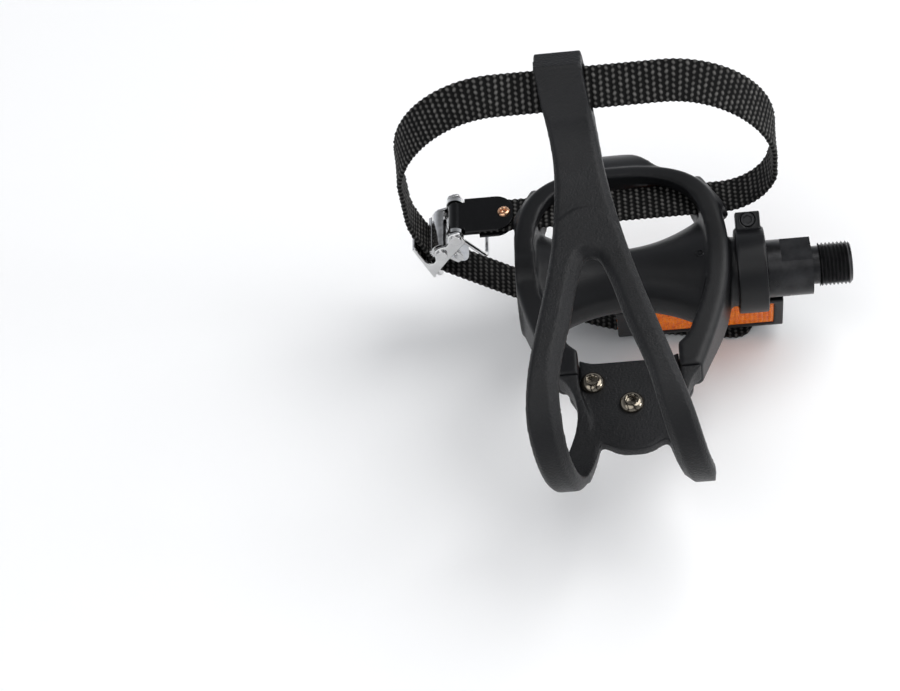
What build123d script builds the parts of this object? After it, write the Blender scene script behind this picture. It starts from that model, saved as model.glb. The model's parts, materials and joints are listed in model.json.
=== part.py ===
from build123d import *
from math import cos, hypot, radians, sin, tan
import os

# A right-hand bicycle pedal with a moulded toe clip, a buckled strap and a reflector.
# Millimetres. The origin is on the spindle axis at the root of the crank thread.
# +X points to the crank, +Y to the heel and +Z up out of the sole face.

# Spindle, from the crank end inwards
THREAD_D = 14.29
THREAD_L = 10.5
THREAD_CHAMFER = 1.0
RELIEF_D = 12.6
RELIEF_L = 2.5
COLLAR_D = 19.0
COLLAR_L = 14.5
WRENCH_FLATS = 15.0
WRENCH_FLATS_L = 10.0
SHAFT_D = 9.4
TAIL_THREAD_D = 8.0
LAND_D = 14.0

# Bearings: a sleeve at the neck and a shielded ball bearing under the cap
RUN = 0.05
END_FLOAT = 0.3
BUSH_L = 12.0
BEARING_OD = 16.0
BEARING_W = 5.0
BEARING_SPLIT_D = 11.0
WASHER_D = 12.0
WASHER_T = 1.0
LOCK_NUT_AF = 11.0
LOCK_NUT_T = 3.2
SEAL_D = 18.4
SEAL_T = 1.2
CAP_D = 25.0
CAP_T = 2.0

# Pedal body, sizes in plan measured from its middle plane
COLLAR_TO_MIDDLE = 47.5
HALF_WIDTH = 35.4
WIDEST_Y = -1.0
REAR_Y = 36.3
FRONT_Y = -42.7
FRONT_HALF_WIDTH = 23.2
CORNER_FULLNESS = 0.75
WALL_T = 7.0
REAR_BAR_T = 5.4
WINDOW_FRONT_Y = -36.0
WINDOW_FRONT_HALF_WIDTH = 17.0
WINDOW_CORNER_R = 12.0
BARREL_R = 10.5
BARREL_FLARE = 15.0
BARREL_RISE = 4.5
BORE_R = 7.2
NECK_R = 11.5
END_DISC_R = 15.5
END_DISC_STEP = 0.6
RIM_FRONT_Z = 7.5
RIM_REAR_Z = 17.5
WALL_BOTTOM_REAR_Z = 8.5
WALL_BOTTOM_FRONT_Z = -4.0
EDGE_ROUND = 2.2
FRONT_PLATE_T = 3.2
FRONT_PLATE_Y = -59.0
FRONT_PLATE_HALF_WIDTH = 20.0
FRONT_PLATE_END_HALF_WIDTH = 13.0
TAB_TIP_Y = 48.0
TAB_TIP_Z = 9.8
TAB_T = 3.0
TAB_DROP = 1.2
TAB_ROOT_HALF_WIDTH = 22.0
TAB_TIP_HALF_WIDTH = 9.5

# Toe clip, sizes in plan measured from the body's middle plane
CLIP_PLATE_T = 4.0
CLIP_T = 4.6
CLIP_HORN = 4.5
CLIP_SEAM = 0.1
CLIP_WING_SAG = 1.0
CLIP_TOE_Y = -93.4
CLIP_BEND_Y = -70.0
CLIP_TOE_Z = 20.0
CLIP_TOE_HALF_WIDTH = 25.6
CLIP_TURN_HALF_WIDTH = 24.6
CLIP_TURN_Y = -82.0
CLIP_LEG_W = 10.0
CLIP_WAIST_HALF_WIDTH = 17.4
CLIP_WAIST_Y = -56.0
CLIP_LEG_END_Y = -94.4
CLIP_LOBE_Y = -71.0
CLIP_LOBE_R = 9.0
CLIP_ARM_HALF_WIDTH = 7.5
CLIP_CROTCH_Y = -32.5
CLIP_CROTCH_R = 3.4
CLIP_LEAN = -0.2
CLIP_LEAN_Z = 8.0
CLIP_SEAT_HALF_WIDTH = 16.0
# The clip in plan: how far its side lies beyond the arm, and half its gap, each at a place Y
CLIP_SIDE_SWELL = ((0.0, 5.0), (1.2, -12.0), (6.0, -38.0), (11.1, -58.0))
CLIP_GAP_POINTS = ((13.6, -74.0), (8.6, -56.0))
CLIP_WING_T = 3.6
# The clip in side view, as (Y, Z): the outer line from under the toe to the head, then the head
CLIP_SIDE_POINTS = [
    (-86.5, 5.5),
    (CLIP_TOE_Y, CLIP_TOE_Z),
    (-89.5, 35),
    (-77, 45.6),
    (-58, 50.8),
    (-30.6, 54.6),
    (-11.4, 59.4),
    (1, 64),
    (8.1, 70.2),
]
CLIP_HEAD_TOP = (20.8, 81.2)
CLIP_HEAD_BACK = (29.0, 79.8)
CLIP_HEAD_LIP = (26.4, 74.8)
CLIP_HOOK_MIDDLE = (26.6, 70.2)
CLIP_HOOK_END = (22.5, 67.4)
CLIP_HEAD_UNDER = (17.5, 67.6)
CLIP_ARM_UNDER = (11.2, 64.4)
CLIP_GAP_BEVEL = 2.4
CLIP_SIDE_BEVEL = 1.6
TUNNEL_Y = 18.6
TUNNEL_Z = 73.0
TUNNEL_TILT = 38.0
TUNNEL_H = 3.4

# Bolts and nut plate under the clip
BOLT_D = 4.0
BOLT_HEAD_D = 8.0
BOLT_HEAD_H = 2.2
BOLT_HEX_AF = 2.5
BOLT_PLAY = 0.1
BOLT_REAR_Y = -44.2
BOLT_FRONT_Y = -53.2
BOLT_TO_SEAT_SIDE = 4.0
BOLT_HALF_SPACING = CLIP_SEAT_HALF_WIDTH - BOLT_TO_SEAT_SIDE
NUT_PLATE_T = 1.5
NUT_PLATE_MARGIN = 5.2
NUT_PLATE_NOTCH = 7.0
BOLT_TIP = 0.5

# Reflector on its clamp ring
REFLECTOR_SWING = 12.8
CLAMP_W = 9.8
CLAMP_WALL = 2.5
CLAMP_FIT = 0.05
CLAMP_GAP = 1.6
EAR_ANGLE = 39.0
EAR_T = 3.4
EAR_H = 5.2
EAR_W = 8.0
CLAMP_SCREW_D = 2.5
CLAMP_SCREW_HEAD_D = 4.5
CLAMP_SCREW_HEAD_H = 1.8
CLAMP_NUT_AF = 5.0
CLAMP_NUT_T = 2.0
HOUSING_L = 56.0
HOUSING_OVERHANG = 5.4
HOUSING_T = 12.0
HOUSING_TOP = 12.3
HOUSING_H = 18.1
HOUSING_ROOM = 0.9
LENS_L = 44.0
LENS_H = 14.0
LENS_T = 1.7
LENS_TAB_H = 2.0
LENS_TAB_PITCH = 5.6
LENS_TAB_COVER = 0.7
LENS_END = 3.2

# Strap
STRAP_W = 14.2
STRAP_T = 2.0
STRAP_Y = 23.4
STRAP_Z = 11.5
STRAP_PLAY = 0.4
STRAP_INBOARD_X = -12.5
STRAP_BOW = 15.2
STRAP_TOP_R = 35.0
STRAP_FOOT_R = 18.0
STRAP_TURN_R = 8.0
STRAP_BOW_R = 30.0
STRAP_REST_R = 60.0
STRAP_REST_Z = -34.2
STRAP_END_X = -22.0
STRAP_END_Y = 5.0
STRAP_TAIL_SLOPE = 28.0
STRAP_TWIST_SHARE = 0.4
SLOT_RIM = 2.4
SLOT_RIM_PROUD = 1.2

# Buckle
SHEET_T = 1.0
END_BAR_TO_CAGE = 19.1
BUCKLE_TILT = 20.0
BUCKLE_INSIDE_W = 16.2
BUCKLE_TOP = 2.0
BUCKLE_BOTTOM = 14.0
BUCKLE_MARGIN = 0.6
TONGUE_L = 6.0
TONGUE_W = 12.0
STRAP_TO_SHEET = 0.3
CAM_PIN_D = 2.4
CAM_PIN_DROP = 4.5
CAM_LOBE_R = 4.2
CAM_CURL_R = 3.3
CAM_TEETH = 6
CAM_TOOTH_H = 0.7
CAM_W = 15.2
CAM_RUN = 0.05
LEVER_REACH = 13.0
LEVER_T = 1.2
LEVER_W = 11.4
LEVER_ANGLE = -62.0
END_BAR_D = 2.6
END_BAR_REACH = 15.3
PIN_HEAD_D = 4.0
PIN_HEAD_T = 0.8
KEEPER_WIRE_D = 1.5
KEEPER_REACH = 15.3
KEEPER_ANGLE = -52.0
KEEPER_BEND_R = 2.0
KEEPER_EYE_PLAY = 0.1
KEEPER_LEG_Y = 6.95
END_CLIP_T = 0.8
END_CLIP_GAP = 0.05
END_CLIP_L = 19.6
END_CLIP_W = 14.8
END_CLIP_FOLD_W = 11.6
END_CLIP_FOLD_L = 8.0
END_CLIP_SHOULDER = 3.4
END_CLIP_EYE_PLAY = 0.2
RIVET_D = 2.6
RIVET_HEAD_D = 4.4
RIVET_HEAD_H = 0.9
RIVET_TO_END = 3.0

# Places that follow from the sizes
COLLAR_X = -RELIEF_L - COLLAR_L
MIDDLE_X = COLLAR_X - COLLAR_TO_MIDDLE
NECK_END_X = COLLAR_X - END_FLOAT
OUTBOARD_X = MIDDLE_X - HALF_WIDTH + END_DISC_STEP
PLATE_TOP_Z = WALL_BOTTOM_FRONT_Z + FRONT_PLATE_T
CLIP_PLATE_TOP_Z = PLATE_TOP_Z + CLIP_PLATE_T
LAND_X = NECK_END_X - SEAL_T
BUSH_X = LAND_X - END_FLOAT - BUSH_L
SPINDLE_END_X = OUTBOARD_X + CAP_T + END_FLOAT
NUT_X = SPINDLE_END_X + END_FLOAT
WASHER_X = NUT_X + LOCK_NUT_T
BEARING_X = WASHER_X + WASHER_T
SHOULDER_X = BEARING_X + BEARING_W
CLAMP_X = NECK_END_X - CLAMP_W
CLAMP_IN_R = NECK_R + CLAMP_FIT
CLAMP_OUT_R = CLAMP_IN_R + CLAMP_WALL
HOUSING_X = NECK_END_X + HOUSING_OVERHANG - HOUSING_L
END_BAR_X = MIDDLE_X - HALF_WIDTH - END_BAR_TO_CAGE
STRAP_OUTBOARD_X = END_BAR_X - STRAP_BOW
STRAP_IN_BUCKLE = -END_BAR_REACH + SHEET_T + STRAP_TO_SHEET + STRAP_T / 2
CAM_PIN_AT = STRAP_IN_BUCKLE + STRAP_T / 2 + STRAP_TO_SHEET + CAM_LOBE_R
LOOP_TOP = TUNNEL_Z - STRAP_Z
CLIP_REAR_Y = WINDOW_FRONT_Y + CLIP_HORN


def spun(profile):
    """A solid of revolution about the spindle axis from a half profile in X and radius."""
    return revolve(make_face(profile), Axis.X)


def tube(x0, x1, outer, inner=0.0):
    """A round tube or bar along the spindle axis."""
    solid = Plane.YZ.offset(x0) * extrude_circle(outer, x1 - x0)
    if inner > 0:
        solid -= Plane.YZ.offset(x0) * extrude_circle(inner, x1 - x0)
    return solid


def extrude_circle(radius, length):
    return extrude(Circle(radius), length)


def slab(x0, x1, y0, y1, z0, z1):
    """A box from its two corners."""
    size = Box(x1 - x0, y1 - y0, z1 - z0)
    return Pos((x0 + x1) / 2, (y0 + y1) / 2, (z0 + z1) / 2) * size


def in_plan(half):
    """A face in plan, mirrored about the middle plane, from a half outline that starts and ends on it."""
    right = make_face(half + Line(half @ 1, half @ 0))
    both = right + mirror(right, Plane.YZ)
    return Pos(MIDDLE_X, 0, 0) * both


def body_plan(half_width, rear_y, front_half_width, front_y):
    """The oval outline of the body, or of its window."""
    rear_reach = rear_y - WIDEST_Y
    front_reach = (WIDEST_Y - front_y) / 3
    rear = Bezier(
        (0, rear_y),
        (CORNER_FULLNESS * half_width, rear_y),
        (half_width, WIDEST_Y + CORNER_FULLNESS * rear_reach),
        (half_width, WIDEST_Y),
    )
    lean = (half_width - front_half_width) / 2
    front = Bezier(
        (half_width, WIDEST_Y),
        (half_width, WIDEST_Y - front_reach),
        (front_half_width + lean, front_y + front_reach),
        (front_half_width, front_y),
    )
    return in_plan(rear + front + Line((front_half_width, front_y), (0, front_y)))


def window_plan():
    """The outline inside the walls, with round corners at the toe."""
    outline = body_plan(HALF_WIDTH - WALL_T, REAR_Y - REAR_BAR_T, WINDOW_FRONT_HALF_WIDTH, WINDOW_FRONT_Y)
    corners = outline.vertices().filter_by(lambda v: v.Y < WINDOW_FRONT_Y + 1 and abs(v.X - MIDDLE_X) > 1)
    return fillet(corners, WINDOW_CORNER_R)


def body_side():
    """The side profile of the body: the rim above, rising to the heel, and the lower edge of the walls."""
    rise = RIM_REAR_Z - RIM_FRONT_Z
    rim = Bezier(
        (FRONT_Y, RIM_FRONT_Z),
        (FRONT_Y + 28, RIM_FRONT_Z + rise * 0.3),
        (REAR_Y - 31, RIM_REAR_Z + 1.5),
        (REAR_Y + 3, RIM_REAR_Z),
    )
    lower = Spline(
        (REAR_Y + 3, WALL_BOTTOM_REAR_Z),
        (REAR_Y - 12, WALL_BOTTOM_REAR_Z - 2),
        (BARREL_R + 2, -4),
        (0, -BARREL_R),
        (-BARREL_R * 2, -BARREL_R + 2.5),
        (FRONT_Y, WALL_BOTTOM_FRONT_Z),
    )
    ends = Line(rim @ 1, lower @ 0) + Line(lower @ 1, rim @ 0)
    return make_face(rim + lower + ends)


def barrel():
    """The hour-glass barrel around the spindle, which flares more in plan than in height."""
    reach = HALF_WIDTH - WALL_T / 2
    half_count = 3
    sections = []
    for i in range(-half_count, half_count + 1):
        share = i / half_count
        depth = BARREL_R + BARREL_FLARE * share**2
        height = BARREL_R + BARREL_RISE * share**2
        sections.append(Plane.YZ.offset(MIDDLE_X + share * reach) * Ellipse(depth, height))
    return loft(sections)


def slot_wall(side):
    """Point and outward direction of the outer wall at the middle of a strap slot."""
    rear_reach = REAR_Y - WIDEST_Y
    low, high = 0.0, 1.0
    for _ in range(40):
        t = (low + high) / 2
        y = REAR_Y * ((1 - t) ** 3 + 3 * t * (1 - t) ** 2) + WIDEST_Y * t**3
        y += 3 * t**2 * (1 - t) * (WIDEST_Y + CORNER_FULLNESS * rear_reach)
        if y > STRAP_Y:
            low = t
        else:
            high = t
    x = HALF_WIDTH * (3 * t * (1 - t) ** 2 * CORNER_FULLNESS + 3 * t**2 * (1 - t) + t**3)
    slope_x = HALF_WIDTH * 3 * ((1 - t) ** 2 * CORNER_FULLNESS + 2 * t * (1 - t) * (1 - CORNER_FULLNESS))
    slope_y = -3 * rear_reach * (2 * t * (1 - t) * (1 - CORNER_FULLNESS) + t**2 * CORNER_FULLNESS)
    length = hypot(slope_x, slope_y)
    along = Vector(-side * slope_y / length, slope_x / length, 0)
    return Vector(MIDDLE_X + side * x, STRAP_Y, STRAP_Z), along


def slot_rim(side):
    """The raised rounded rim around a strap slot."""
    point, outward = slot_wall(side)
    start = point - outward * WALL_T / 2
    plane = Plane(start, x_dir=Vector(0, 0, 1).cross(outward), z_dir=outward)
    height = STRAP_T + 2 * STRAP_PLAY + 2 * SLOT_RIM
    outline = SlotOverall(STRAP_W + 2 * STRAP_PLAY + 2 * SLOT_RIM, height)
    rim = extrude(outline, WALL_T / 2 + SLOT_RIM_PROUD)
    lip = rim.edges().group_by(Axis.Z)[-1]
    return plane * chamfer(lip, SLOT_RIM_PROUD / 2)


def kick_tab():
    """The broad tongue behind the rear bar, sloping down to its tip."""
    root_y = REAR_Y - REAR_BAR_T / 2
    root_z = RIM_REAR_Z - TAB_DROP
    slope = Bezier(
        (root_y, root_z),
        ((REAR_Y + TAB_TIP_Y) / 2, root_z),
        (TAB_TIP_Y - TAB_T, TAB_TIP_Z + TAB_T),
        (TAB_TIP_Y, TAB_TIP_Z),
    )
    under = Polyline(
        (TAB_TIP_Y, TAB_TIP_Z),
        (TAB_TIP_Y - TAB_T / 3, TAB_TIP_Z - TAB_T),
        (REAR_Y, root_z - 2 * TAB_T),
        (root_y, root_z - 2 * TAB_T),
        (root_y, root_z),
    )
    wide = Plane.YZ.offset(MIDDLE_X) * extrude(make_face(slope + under), TAB_ROOT_HALF_WIDTH, both=True)
    bell = Bezier(
        (0, TAB_TIP_Y),
        (TAB_TIP_HALF_WIDTH, TAB_TIP_Y),
        (TAB_TIP_HALF_WIDTH, REAR_Y),
        (TAB_ROOT_HALF_WIDTH, root_y - REAR_BAR_T / 2),
    )
    plan = in_plan(bell + Line(bell @ 1, (0, root_y)))
    return wide & extrude(plan, RIM_REAR_Z)


def housing_block(room):
    """The outer block of the reflector housing, grown by some room."""
    block = slab(
        HOUSING_X - room,
        HOUSING_X + HOUSING_L + room,
        -HOUSING_T / 2 - room,
        HOUSING_T / 2 + room,
        -HOUSING_TOP - HOUSING_H - room,
        -HOUSING_TOP + room,
    )
    return Rot(REFLECTOR_SWING, 0, 0) * block


def bolt_places():
    return [
        (MIDDLE_X - BOLT_HALF_SPACING, BOLT_REAR_Y),
        (MIDDLE_X + BOLT_HALF_SPACING, BOLT_REAR_Y),
        (MIDDLE_X, BOLT_FRONT_Y),
    ]


def bolt_holes(radius):
    depth = 40.0
    return [Pos(x, y, 0) * Cylinder(radius, depth) for x, y in bolt_places()]


def pedal_body():
    depth = 60.0
    envelope = extrude(body_plan(HALF_WIDTH, REAR_Y, FRONT_HALF_WIDTH, FRONT_Y), depth / 2, both=True)
    side = Plane.YZ.offset(MIDDLE_X) * extrude(body_side(), HALF_WIDTH + 5, both=True)
    solid = envelope & side
    rim_edges = solid.edges().filter_by(lambda e: e.length > 30 and abs((e @ 0.5).Y - FRONT_Y) > 1)
    solid = fillet(rim_edges, EDGE_ROUND)
    window = extrude(window_plan(), depth / 2, both=True)
    solid -= window - barrel()
    half = Polyline(
        (0, WINDOW_FRONT_Y),
        (FRONT_PLATE_HALF_WIDTH, WINDOW_FRONT_Y),
        (FRONT_PLATE_HALF_WIDTH, FRONT_Y - 3),
        (FRONT_PLATE_END_HALF_WIDTH, FRONT_PLATE_Y),
        (0, FRONT_PLATE_Y),
    )
    plate = in_plan(half)
    front = plate.vertices().filter_by(lambda v: v.Y < FRONT_Y and abs(v.X - MIDDLE_X) > 1)
    plate = fillet(front, 5)
    solid += Pos(0, 0, WALL_BOTTOM_FRONT_Z) * extrude(plate, FRONT_PLATE_T)
    solid += kick_tab()
    solid += slot_rim(1) + slot_rim(-1)
    solid += tube(MIDDLE_X + HALF_WIDTH - WALL_T, NECK_END_X, NECK_R)
    solid += tube(OUTBOARD_X, OUTBOARD_X + WALL_T, END_DISC_R)
    solid -= slab(OUTBOARD_X - WALL_T, OUTBOARD_X, FRONT_Y, REAR_Y, -END_DISC_R, END_DISC_R)
    seat = CLIP_SEAT_HALF_WIDTH + CLIP_SEAM
    seat_end = CLIP_REAR_Y + CLIP_SEAM
    solid -= slab(MIDDLE_X - seat, MIDDLE_X + seat, FRONT_PLATE_Y, seat_end, PLATE_TOP_Z, RIM_REAR_Z)
    solid -= slab(
        MIDDLE_X - HALF_WIDTH * 2,
        MIDDLE_X + HALF_WIDTH * 2,
        STRAP_Y - STRAP_W / 2 - STRAP_PLAY,
        STRAP_Y + STRAP_W / 2 + STRAP_PLAY,
        STRAP_Z - STRAP_T / 2 - STRAP_PLAY,
        STRAP_Z + STRAP_T / 2 + STRAP_PLAY,
    )
    solid -= slab(
        MIDDLE_X - HALF_WIDTH,
        MIDDLE_X + HALF_WIDTH,
        FRONT_PLATE_Y,
        BOLT_REAR_Y + NUT_PLATE_MARGIN + CLIP_SEAM,
        WALL_BOTTOM_FRONT_Z - FRONT_PLATE_T,
        WALL_BOTTOM_FRONT_Z,
    )
    solid -= housing_block(HOUSING_ROOM)
    solid -= tube(OUTBOARD_X, NECK_END_X, BORE_R)
    solid -= tube(LAND_X, NECK_END_X, SEAL_D / 2)
    solid -= tube(OUTBOARD_X, SHOULDER_X, BEARING_OD / 2)
    solid -= tube(OUTBOARD_X, OUTBOARD_X + CAP_T, CAP_D / 2)
    for hole in bolt_holes(BOLT_D / 2 + BOLT_PLAY):
        solid -= hole
    return solid


def dust_cap():
    """The flush cap over the outboard bearing, with a bevelled edge."""
    disc = tube(OUTBOARD_X, OUTBOARD_X + CAP_T, CAP_D / 2)
    outer_edge = disc.edges().group_by(Axis.X)[0]
    return chamfer(outer_edge, CAP_T / 4)


def spindle():
    profile = Polyline(
        (THREAD_L, 0),
        (THREAD_L, THREAD_D / 2 - THREAD_CHAMFER),
        (THREAD_L - THREAD_CHAMFER, THREAD_D / 2),
        (0, THREAD_D / 2),
        (0, RELIEF_D / 2),
        (-RELIEF_L, RELIEF_D / 2),
        (-RELIEF_L, COLLAR_D / 2),
        (COLLAR_X, COLLAR_D / 2),
        (COLLAR_X, LAND_D / 2),
        (LAND_X, LAND_D / 2),
        (LAND_X, SHAFT_D / 2),
        (SHOULDER_X, SHAFT_D / 2),
        (SHOULDER_X, TAIL_THREAD_D / 2),
        (SPINDLE_END_X, TAIL_THREAD_D / 2),
        (SPINDLE_END_X, 0),
        close=True,
    )
    solid = spun(profile)
    for side in (-1, 1):
        edge = side * WRENCH_FLATS / 2
        y0, y1 = sorted((edge, side * COLLAR_D))
        cut = slab(-RELIEF_L - WRENCH_FLATS_L, -RELIEF_L, y0, y1, -COLLAR_D, COLLAR_D)
        solid -= Rot(90 - EAR_ANGLE, 0, 0) * cut
    return solid


def hex_bar(flats, length):
    return extrude(RegularPolygon(flats / 2, 6, major_radius=False), length)


def lock_nut():
    bar = Plane.YZ.offset(NUT_X) * hex_bar(LOCK_NUT_AF, LOCK_NUT_T)
    return bar - tube(NUT_X, NUT_X + LOCK_NUT_T, TAIL_THREAD_D / 2)


def clip_outer_line():
    """The outer line of the clip in side view, from its base round the toe and up the arm."""
    return Spline((CLIP_BEND_Y, PLATE_TOP_Z), *CLIP_SIDE_POINTS)


def clip_inner_points():
    """Points one thickness inside the outer line, from the head back round the toe."""
    outer = clip_outer_line()
    points = []
    for point in reversed(CLIP_SIDE_POINTS[:-1]):
        along = outer % outer.param_at_point(Vector(*point))
        points.append((point[0] + CLIP_T * along.Y, point[1] - CLIP_T * along.X))
    return points


def clip_profile():
    """The side profile of the toe clip: base, toe bend, arm and head."""
    outer = clip_outer_line()
    base = Line((CLIP_REAR_Y, PLATE_TOP_Z), outer @ 0)
    head = Polyline(outer @ 1, CLIP_HEAD_TOP, CLIP_HEAD_BACK, CLIP_HEAD_LIP)
    hook = ThreePointArc(head @ 1, CLIP_HOOK_MIDDLE, CLIP_HOOK_END)
    under = Polyline(hook @ 1, CLIP_HEAD_UNDER, CLIP_ARM_UNDER)
    inner = Spline(under @ 1, *clip_inner_points(), (CLIP_BEND_Y - CLIP_T / 2, CLIP_PLATE_TOP_Z))
    side_y = FRONT_Y - CLIP_SEAM
    wing_middle = ((CLIP_BEND_Y + side_y) / 2, CLIP_PLATE_TOP_Z + CLIP_WING_SAG)
    wing = ThreePointArc(inner @ 1, wing_middle, (side_y, RIM_FRONT_Z))
    rear = Polyline(wing @ 1, (CLIP_REAR_Y, RIM_FRONT_Z), (CLIP_REAR_Y, PLATE_TOP_Z))
    return make_face(base + outer + head + hook + under + inner + wing + rear)


def leaning(plan, z0, z1, lean):
    """A prism from a plan outline, which leans outboard as it rises."""
    shift = Pos((z0 - CLIP_LEAN_Z) * lean, 0, z0)
    height = z1 - z0
    parts = [Solid.extrude(shift * face, Vector(lean * height, 0, height)) for face in plan.faces()]
    return Part() + parts


def clip_lower_plan():
    """Base plate, front lobe and the roots of the two legs, seen from above."""
    turn_in = CLIP_TURN_HALF_WIDTH - CLIP_LEG_W
    side_y = FRONT_Y - CLIP_SEAM
    outer = Spline(
        (FRONT_HALF_WIDTH, side_y),
        (CLIP_WAIST_HALF_WIDTH + 1.6, side_y - 5),
        (CLIP_WAIST_HALF_WIDTH, CLIP_WAIST_Y),
        (CLIP_WAIST_HALF_WIDTH + 3.4, CLIP_BEND_Y),
        (CLIP_TURN_HALF_WIDTH, CLIP_TURN_Y),
    )
    inner = Spline((turn_in, CLIP_TURN_Y), (turn_in - 2, -75), (CLIP_LOBE_R + 1.6, CLIP_LOBE_Y + 3.2))
    lobe = Spline(
        (CLIP_LOBE_R + 1.6, CLIP_LOBE_Y + 3.2),
        (CLIP_LOBE_R - 2, CLIP_LOBE_Y + 1.8),
        (0, CLIP_LOBE_Y),
        tangents=((-1, 0.15), (-1, 0)),
    )
    half = (
        Polyline((0, CLIP_REAR_Y), (CLIP_SEAT_HALF_WIDTH, CLIP_REAR_Y), (CLIP_SEAT_HALF_WIDTH, side_y))
        + Line((CLIP_SEAT_HALF_WIDTH, side_y), (FRONT_HALF_WIDTH, side_y))
        + outer
        + Line(outer @ 1, inner @ 0)
        + inner
        + lobe
    )
    return in_plan(half)


def clip_pocket_plan():
    """The hollow between the wings, where the bolt heads sit on the base plate."""
    seat = CLIP_SEAT_HALF_WIDTH + 2 * CLIP_SEAM
    wall = CLIP_WAIST_HALF_WIDTH - CLIP_WING_T
    side = Spline(
        (seat, BOLT_REAR_Y),
        (wall, CLIP_WAIST_Y),
        (wall, CLIP_LOBE_Y),
        tangents=((0, -1), (0.1, -1)),
    )
    return in_plan(
        Polyline((0, CLIP_REAR_Y + 1), (seat, CLIP_REAR_Y + 1), (seat, BOLT_REAR_Y))
        + side
        + Line((wall, CLIP_LOBE_Y), (0, CLIP_LOBE_Y))
    )


def clip_gap_line():
    """The inner side of a leg in plan, from the toe to the crotch."""
    return Spline(
        (CLIP_TOE_HALF_WIDTH - CLIP_LEG_W, CLIP_LEG_END_Y),
        (CLIP_TURN_HALF_WIDTH - CLIP_LEG_W, CLIP_TURN_Y),
        *CLIP_GAP_POINTS,
        (CLIP_CROTCH_R, CLIP_CROTCH_Y - CLIP_CROTCH_R),
        (0, CLIP_CROTCH_Y),
        tangents=((0, 1), (-1, 0)),
    )


def clip_side_line():
    """The outer side of the arm and a leg in plan."""
    return Spline(
        *((CLIP_ARM_HALF_WIDTH + swell, y) for swell, y in CLIP_SIDE_SWELL),
        (CLIP_TURN_HALF_WIDTH, CLIP_TURN_Y),
        (CLIP_TOE_HALF_WIDTH, CLIP_LEG_END_Y),
        tangents=((0, -1), (0, -1)),
    )


def clip_upper_plan():
    """Legs, crotch and arm, seen from above."""
    side = clip_side_line()
    gap = clip_gap_line()
    arm_end = 40.0
    arm = Polyline((0, arm_end), (CLIP_ARM_HALF_WIDTH, arm_end), side @ 0)
    return in_plan(arm + side + Line(side @ 1, gap @ 0) + gap)


def beside(edge, line):
    """Whether an edge of the clip lies on its outer face above a line of the plan."""
    point = edge @ 0.5
    across = abs(point.X - MIDDLE_X - CLIP_LEAN * (point.Z - CLIP_LEAN_Z))
    near = 0.02
    on_face = clip_outer_line().distance_to(Vector(point.Y, point.Z, 0)) < near
    return on_face and line.distance_to(Vector(across, point.Y, 0)) < near


def tunnel_plane():
    """Middle of the strap tunnel: x along the strap's width, z towards the crank."""
    tilt = radians(TUNNEL_TILT)
    return Plane((MIDDLE_X, TUNNEL_Y, TUNNEL_Z), x_dir=(0, cos(tilt), sin(tilt)), z_dir=(1, 0, 0))


def toe_clip():
    reach = 60.0
    band = Plane.YZ.offset(MIDDLE_X - reach) * extrude(clip_profile(), 2 * reach)
    below = PLATE_TOP_Z - 2
    behind = slab(-reach, reach, CLIP_TURN_Y, reach, below, CLIP_TOE_Z).moved(Pos(MIDDLE_X, 0, 0))
    lower = band & leaning(clip_lower_plan(), below, CLIP_LEAN_Z, 0)
    upper = (band & leaning(clip_upper_plan(), below, TUNNEL_Z + reach, CLIP_LEAN)) - behind
    upper = chamfer(upper.edges().filter_by(lambda e: beside(e, clip_gap_line())), CLIP_GAP_BEVEL)
    upper = chamfer(upper.edges().filter_by(lambda e: beside(e, clip_side_line())), CLIP_SIDE_BEVEL)
    pocket = Pos(0, 0, CLIP_PLATE_TOP_Z) * extrude(clip_pocket_plan(), CLIP_TOE_Z)
    solid = (lower - pocket) + upper
    hole = extrude(Rectangle(STRAP_W + 2 * STRAP_PLAY, TUNNEL_H), reach, both=True)
    solid -= tunnel_plane() * hole
    solid -= extrude(window_plan(), reach / 2, both=True)
    for bolt_hole in bolt_holes(BOLT_D / 2 + BOLT_PLAY):
        solid -= bolt_hole
    return solid


def clip_bolts():
    tip_z = WALL_BOTTOM_FRONT_Z - NUT_PLATE_T - BOLT_TIP
    head = Cylinder(BOLT_HEAD_D / 2, BOLT_HEAD_H, align=(Align.CENTER, Align.CENTER, Align.MIN))
    head = chamfer(head.edges().group_by(Axis.Z)[-1], BOLT_HEAD_H / 2)
    head -= Pos(0, 0, BOLT_HEAD_H / 2) * hex_bar(BOLT_HEX_AF, BOLT_HEAD_H)
    shank = Cylinder(BOLT_D / 2, CLIP_PLATE_TOP_Z - tip_z, align=(Align.CENTER, Align.CENTER, Align.MAX))
    bolt = head + shank
    return Compound(children=[Pos(x, y, CLIP_PLATE_TOP_Z) * bolt for x, y in bolt_places()])


def nut_plate():
    circles = [Pos(x, y, 0) * Circle(NUT_PLATE_MARGIN) for x, y in bolt_places()]
    edges = [edge for circle in circles for edge in circle.edges()]
    outline = make_hull(edges)
    rear = BOLT_REAR_Y + NUT_PLATE_MARGIN
    notch = Polyline(
        (MIDDLE_X - NUT_PLATE_NOTCH, rear + 1),
        (MIDDLE_X, rear - NUT_PLATE_NOTCH),
        (MIDDLE_X + NUT_PLATE_NOTCH, rear + 1),
        close=True,
    )
    outline -= make_face(notch)
    solid = Pos(0, 0, WALL_BOTTOM_FRONT_Z - NUT_PLATE_T) * extrude(outline, NUT_PLATE_T)
    for hole in bolt_holes(BOLT_D / 2):
        solid -= hole
    return solid


def ear_plane():
    """Frame at the middle of the ears: x outward from the axis, y along the screw, z towards the crank."""
    angle = radians(EAR_ANGLE)
    radius = CLAMP_OUT_R + EAR_H / 2
    middle = (CLAMP_X + CLAMP_W / 2, radius * cos(angle), radius * sin(angle))
    return Plane(middle, x_dir=(0, cos(angle), sin(angle)), z_dir=(1, 0, 0))


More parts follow.
